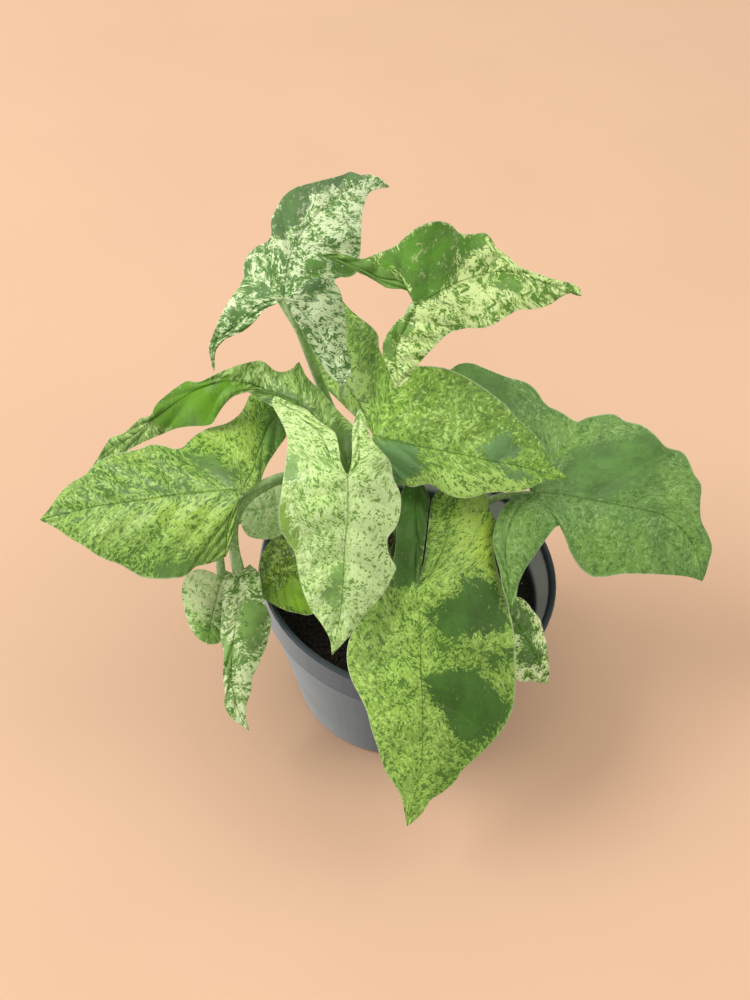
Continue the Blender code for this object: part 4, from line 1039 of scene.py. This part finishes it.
def stalk_path(leaf):
    rib, normals = under_rib(leaf)
    route = [(*STEMS[leaf.stem], leaf.foot), *points_at_heights(leaf.path[:, :2], leaf.path[:, 2])]
    route.append(rib[0] - normals[0] * STALK_RADIUS * leaf.girth)
    way = np.linspace(0.0, 1.0, STALK_STEPS + 1)
    radii = FOOT_RADIUS + (STALK_RADIUS * leaf.girth - FOOT_RADIUS) * way ** STALK_TAPER
    radii = radii * (1.0 + SWELLING * np.exp(-((way - SWELLING_AT) / SWELLING_LENGTH) ** 2))
    left = 1.0 - np.linspace(0.0, 1.0, KEEL_ROWS)[1:]
    keel_radii = KEEL_RADIUS + (STALK_RADIUS * KEEL_START - KEEL_RADIUS) * left ** 2
    keel = rib[1:] - normals[1:] * (BLADE / 2 + keel_radii * KEEL_SINK)[:, None]
    return np.vstack([smooth_curve(route, STALK_STEPS), keel]), np.concatenate([radii, keel_radii])


stalk_skin = stalk_finish()
stalks = {}
for name, leaf in LEAVES.items():
    path = path_object(name + "_path", [stalk_path(leaf)])
    stalks[name] = plain_mesh(path, TUBE, name + "_stalk", Sides=14, Material=stalk_skin)
print("stalks:", len(stalks), "faces of the first:", len(stalks["leaf_back_left"].data.polygons))

# %% [markdown]
# ## The short stems
#
# The four stems keep their solids, which are already round canes with leaf scars. They
# only need bark: green, with brownish scars and fine length-wise grooves. Aerial roots
# grow from a syngonium's nodes and bend down into the soil, so the tube tree makes some.

# %% Stems and roots
SOIL_TOP, SOIL_CROWN = 0.0700, 0.0030
STEM_RADIUS = 0.0042
ROOTS_PER_STEM, ROOT_RADIUS, ROOT_REACH, ROOT_STEPS = 5, 0.0006, 0.009, 12
ROOT_START, ROOT_END, ROOT_SPREAD = (0.005, 0.022), -0.004, 0.3
ROOT_BENDS = ((0.0, 1.0), (0.45, 0.95), (0.8, 0.5))
ROOT_INSET, ROOT_TAPER = 0.7, 0.6
SEED = 7


def stem_finish(name):
    paint = Finish(name + "_bark")
    grooves = paint.noise(paint.place((1.0, 1.0, 0.12)), scale=1100.0, detail=3.0)
    bands = paint.noise(paint.place((0.2, 0.2, 1.0)), scale=260.0)
    colour = paint.over(light("5C7A32"), "7A964A", grooves, low=0.4, high=0.6)
    colour = paint.over(colour, "705C3A", bands, low=0.56, high=0.64, end=0.8)
    paint.bump(grooves, distance=0.0004, strength=0.6)
    paint.set(base_color=colour, roughness=paint.uneven(bands, 0.45, 0.65))
    return paint.material


def root_finish():
    paint = Finish("root_skin")
    blotches = paint.noise(paint.place(), scale=500.0, detail=3.0)
    paint.bump(blotches, distance=0.0003, strength=0.6)
    paint.set(base_color=paint.over(light("806846"), "5C4A30", blotches, low=0.4, high=0.6),
              roughness=paint.uneven(blotches, 0.7, 0.85))
    return paint.material


def root_paths(rng):
    paths = []
    for x, y in STEMS.values():
        for index in range(ROOTS_PER_STEM):
            angle = TURN * (index + rng.uniform(-ROOT_SPREAD, ROOT_SPREAD)) / ROOTS_PER_STEM
            start = rng.uniform(*ROOT_START)
            reach = ROOT_REACH * rng.uniform(0.5, 1.0)
            marks = []
            for share, height in (*((share, start * left) for share, left in ROOT_BENDS), (1.0, ROOT_END)):
                radius = STEM_RADIUS * ROOT_INSET + reach * share
                marks.append((x + radius * math.cos(angle), y + radius * math.sin(angle),
                              SOIL_TOP + SOIL_CROWN + height))
            points = smooth_curve(marks, ROOT_STEPS)
            paths.append((points, np.linspace(ROOT_RADIUS, ROOT_RADIUS * ROOT_TAPER, len(points))))
    return paths


for name in STEMS:
    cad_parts[name].data.materials[0] = stem_finish(name)
rng = np.random.default_rng(SEED)
roots = plain_mesh(path_object("roots_path", root_paths(rng)), TUBE, "stem_roots",
                   Sides=8, Material=root_finish())
print("roots:", len(STEMS) * ROOTS_PER_STEM)

# %% [markdown]
# ## Soil
#
# Potting soil is a heap of crumbs with a few pale grains. The solid below them is only the
# ground they lie on. A second tree scatters them: it throws points on a surface, puts a
# rough crumb on each, turns and scales it at random from a fixed seed, and makes the
# crumbs real. One crumb has only twenty faces, because there are thousands of them.

# %% The scatter tree
FULL_TURN = (6.283, 6.283, 6.283)
CRUMB_BUMPS, CRUMB_ROUGHNESS = 1.3, 1.5


def scatter_tree():
    tree, given = new_tree("scatter_on_surface", Density=("Float", 1000.0), Smallest=("Float", 0.0004),
                           Largest=("Float", 0.0012), Seed=("Int", 1))
    seed = given["Seed"]
    spots = add_node(tree, "GeometryNodeDistributePointsOnFaces", {
        "Mesh": given["Geometry"], "Density": given["Density"], "Seed": seed})
    ball = add_node(tree, "GeometryNodeMeshIcoSphere", {"Radius": 1.0, "Subdivisions": 1})
    rough = add_node(tree, "ShaderNodeTexNoise", {"Scale": CRUMB_BUMPS})
    centred = add_node(tree, "ShaderNodeVectorMath", {
        0: rough.outputs["Color"], 1: (0.5, 0.5, 0.5)}, operation="SUBTRACT")
    shift = add_node(tree, "ShaderNodeVectorMath", {
        0: centred.outputs[0], "Scale": CRUMB_ROUGHNESS}, operation="SCALE")
    crumb = add_node(tree, "GeometryNodeSetPosition", {
        "Geometry": ball.outputs["Mesh"], "Offset": shift.outputs[0]})
    turned = add_node(tree, "FunctionNodeRandomValue", {
        "Max": FULL_TURN, "Seed": seed}, data_type="FLOAT_VECTOR")
    size = add_node(tree, "FunctionNodeRandomValue", {
        2: given["Smallest"], 3: given["Largest"], "Seed": seed}, data_type="FLOAT")
    place = add_node(tree, "GeometryNodeInstanceOnPoints", {
        "Points": spots.outputs["Points"], "Instance": crumb.outputs["Geometry"],
        "Rotation": turned.outputs[0], "Scale": size.outputs[1]})
    return finish_tree(tree, place.outputs["Instances"], given)


# %% Soil crumbs
BED_RADIUS, BED_DROP, BED_RINGS, BED_SIDES = 0.0600, 0.0004, 12, 48


def soil_bed(name):
    """The crowned top of the soil as a sheet, for the crumbs to lie on."""
    vertices = [(0.0, 0.0, SOIL_TOP + SOIL_CROWN - BED_DROP)]
    for ring in range(1, BED_RINGS + 1):
        share = ring / BED_RINGS
        height = SOIL_TOP + SOIL_CROWN * (1 - share ** 2) - BED_DROP
        for angle in (TURN * side / BED_SIDES for side in range(BED_SIDES)):
            x, y = BED_RADIUS * share * math.cos(angle), BED_RADIUS * share * math.sin(angle)
            vertices.append((x, y, height))
    pairs = [(1 + side, 1 + (side + 1) % BED_SIDES) for side in range(BED_SIDES)]
    faces = [(0, here, there) for here, there in pairs]
    for start in range(0, BED_SIDES * (BED_RINGS - 1), BED_SIDES):
        for here, there in pairs:
            faces.append((start + here, start + here + BED_SIDES, start + there + BED_SIDES, start + there))
    return new_piece(name, new_mesh(name, vertices, faces))


def earth_finish(name, dark, pale, share):
    paint = Finish(name)
    lumps = paint.noise(paint.place(), scale=420.0, detail=4.0, roughness=0.6)
    grit = paint.noise(paint.place(), scale=2200.0)
    colour = paint.over(light(dark), pale, lumps, low=0.38, high=0.62)
    colour = paint.over(colour, "786854", grit, low=0.62, high=0.66, end=share)
    paint.bump(paint.weigh((grit, 0.4), (lumps, 1.0)), distance=0.0012, strength=0.8)
    paint.set(base_color=colour, roughness=paint.uneven(lumps, 0.82, 0.97))
    return paint.material


SCATTER = scatter_tree()
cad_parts["soil"].data.materials[0] = earth_finish("soil_earth_dark", "14100D", "241C16", 0.15)
crumbs = plain_mesh(soil_bed("crumb_bed"), SCATTER, "soil_crumbs", Density=560000.0, Smallest=0.0004,
                    Largest=0.0013, Seed=3, Material=earth_finish("crumb_earth", "16120E", "2E231B", 0.25))
specks = plain_mesh(soil_bed("speck_bed"), SCATTER, "soil_specks", Density=5200.0, Smallest=0.0004,
                    Largest=0.0009, Seed=11, Material=earth_finish("pale_grain", "968C7C", "CEC6B8", 0.1))
print("crumbs:", len(crumbs.data.polygons), "faces; pale grains:", len(specks.data.polygons), "faces")

# %% [markdown]
# ## The nursery pot
#
# Such a pot is pressed from recycled plastic: a grey with a satin shine, faint rings from
# the mould, and dust on the inside above the soil. That dust is made paler than dust alone,
# as painted light on the inner wall, and the collar is painted darker as painted shade. The
# solid's shape is right, so it only gets this finish. The solid has flat facets, which a
# satin shine would show. So the normal is turned to point straight away from the pot's
# axis, wherever it nearly does already.

# %% Pot
SHADED_COLLAR, LIP = (0.0708, 0.0728), (0.0862, 0.0872)
DUST_AND_LIGHT_HEIGHT, INNER_REACH = (0.0712, 0.0752), (0.0615, 0.0621)
UPRIGHT, AXIS_TINY = (0.90, 0.96), 1e-8


def round_normal(paint):
    """The face's normal, turned to point straight away from the upright axis of a lathed piece."""
    flat = paint.node("ShaderNodeNewGeometry").outputs["Normal"]
    (x, y, _), (across, deep, up) = paint.apart(paint.place()), paint.apart(flat)
    along = paint.weigh((deep, y), (across, x))
    share = paint.math("DIVIDE", along, paint.math("MAXIMUM", paint.weigh((y, y), (x, x)), AXIS_TINY))
    turned = paint.join(paint.math("MULTIPLY", share, x), paint.math("MULTIPLY", share, y), up)
    length = paint.node("ShaderNodeVectorMath", {0: turned}, operation="LENGTH").outputs["Value"]
    return paint.mix(paint.step(length, *UPRIGHT), flat, turned, "VECTOR")


def pot_finish():
    paint = Finish("pot_plastic_grey")
    x, y, height = paint.apart(paint.place())
    reach = paint.math("SQRT", paint.weigh((x, x), (y, y)))
    clouds = paint.noise(paint.place(), scale=28.0, detail=3.0)
    dots = paint.noise(paint.place(), scale=1600.0)
    rings = paint.noise(paint.place((0.03, 0.03, 1.0)), scale=900.0)
    colour = paint.over(light("2E3A45"), "35424D", clouds, NOISE_LOW, NOISE_HIGH)
    # Painted shade: the collar is made darker than the body.
    colour = paint.over(colour, "2E363D", height, *SHADED_COLLAR, end=0.8)
    colour = paint.over(colour, "323C42", height, *LIP, end=0.7)
    # Dust and painted light: the inner wall above the soil is made pale, as if it were lit.
    inside = paint.step(reach, *INNER_REACH, start=1.0, end=0.0)
    dust_and_painted_light = paint.math("MULTIPLY", inside, paint.step(height, *DUST_AND_LIGHT_HEIGHT, end=0.92))
    colour = paint.mix(dust_and_painted_light, colour, light("D8D9D6"))
    colour = paint.over(colour, "969CA0", dots, low=0.66, high=0.72, end=0.35)
    paint.bump(paint.weigh((dots, 0.25), (rings, 0.6)), distance=0.0002, strength=0.5,
               Normal=round_normal(paint))
    paint.set(base_color=colour, roughness=paint.uneven(clouds, 0.26, 0.36),
              specular_ior_level=0.45, coat_weight=0.45, coat_roughness=0.16)
    return paint.material


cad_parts["pot"].data.materials[0] = pot_finish()
print("pot finish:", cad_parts["pot"].data.materials[0].name)

# %% [markdown]
# ## What stands for what
#
# Each leaf's solid stays for the physics and is hidden in the picture, and its fine blade
# and stalk show instead. Every piece rides on the part's one body.

# %% Hide the solids and attach the pieces
for name in LEAVES:
    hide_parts(name)
    for piece in (blades[name], stalks[name]):
        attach(piece, "root")
for piece, slot in ((roots, "stem_front"), (crumbs, "soil"), (specks, "soil")):
    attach(piece, "root")
print("pieces:", 2 * len(LEAVES) + 3)

# %% [markdown]
# ## Floor, light and camera
#
# The plant stands on a plain pale floor under soft light from the upper left, as in the
# photograph. Two large round lamps give soft shadows. The floor is left out of bounced
# light and of mirrored light, so that its warm tone doesn't tint the leaves. The world
# stands in for it: light comes from below too, stronger at the left, where the pot is pale.
# The camera stands where the leaves were measured from, so outlines fall where they were read.

# %% Stage
FLOOR_HALF, FLOOR_TONE, FADED = 6.0, "ECC2A2", 0.985
LIGHT_TARGET, UPWARD = np.array([0.0, 0.0, 0.1]), (0.0, 0.0, 1.0)
WORLD_TONE, WORLD_STRENGTH = (1.0, 0.97, 0.91, 1.0), 0.60
BELOW_LEFT, BELOW_RIGHT = 1.50, 0.20
LEFT_TO_RIGHT, BELOW_TO_ABOVE = (-0.8, 0.15), (-0.30, -0.06)
SENSOR_WIDTH, FRAME_HEIGHT_PIXELS, NEAR = 36.0, 1000.0, 0.01


def build_floor():
    paint = Finish("floor_paper")
    grain = paint.noise(paint.place(), scale=6.0, detail=4.0)
    colour = paint.mix(paint.uneven(grain, 0.0, 1.0), light(FLOOR_TONE), light(FLOOR_TONE, FADED))
    paint.set(base_color=colour, roughness=paint.uneven(grain, 0.85, 0.95))
    corners = [(x * FLOOR_HALF, y * FLOOR_HALF, 0.0) for x, y in ((-1, -1), (1, -1), (1, 1), (-1, 1))]
    floor = new_piece("floor", new_mesh("floor", corners, [(0, 1, 2, 3)], paint.material))
    floor.visible_diffuse = False
    floor.visible_glossy = False


def stand(item, right, up, back, place):
    """Puts a lamp or a camera at a place, looking against its back direction."""
    rows = [(right[k], up[k], back[k], place[k]) for k in range(3)]
    item.matrix_world = Matrix([*rows, (0.0, 0.0, 0.0, 1.0)])


def add_lamp(name, place, width, power, colour):
    lamp = bpy.data.lights.new(name, "AREA")
    lamp.shape, lamp.size, lamp.energy, lamp.color = "DISK", width, power, colour
    back = unit(place - LIGHT_TARGET)
    side = unit(np.cross(UPWARD, back))
    stand(new_piece(name, lamp), side, np.cross(back, side), back, place)


def build_world():
    """Even light from above; from below it comes from the left, where the floor is lit."""
    world = bpy.data.worlds.new("soft_room")
    bpy.context.scene.world = world
    world.use_nodes = True
    tree, background = world.node_tree, world.node_tree.nodes["Background"]
    way = add_node(tree, "ShaderNodeTexCoord").outputs["Generated"]
    apart = add_node(tree, "ShaderNodeSeparateXYZ", {"Vector": way})
    below = ramp(tree, "LINEAR", apart.outputs["X"], *LEFT_TO_RIGHT, BELOW_LEFT, BELOW_RIGHT)
    whole = ramp(tree, "LINEAR", apart.outputs["Z"], *BELOW_TO_ABOVE, below, WORLD_STRENGTH)
    wire(tree, background.inputs["Color"], WORLD_TONE)
    wire(tree, background.inputs["Strength"], whole)


build_floor()
add_lamp("window", (-1.60, -0.30, 1.80), width=1.3, power=32.5, colour=(1.0, 0.99, 0.96))
add_lamp("fill", (0.9, 0.3, 1.9), width=1.6, power=9.0, colour=(1.0, 0.98, 0.94))
build_world()

camera = new_piece("camera", bpy.data.cameras.new("camera"))
stand(camera, RIGHT, UP, BACK, EYE)
camera.data.sensor_fit = "AUTO"
camera.data.sensor_width = SENSOR_WIDTH
camera.data.lens = SENSOR_WIDTH * FOCAL_PIXELS / FRAME_HEIGHT_PIXELS
camera.data.clip_start = NEAR
bpy.context.scene.camera = camera
bpy.context.scene.view_settings.view_transform = "Standard"
print("lens:", round(camera.data.lens, 1), "mm")

# %% [markdown]
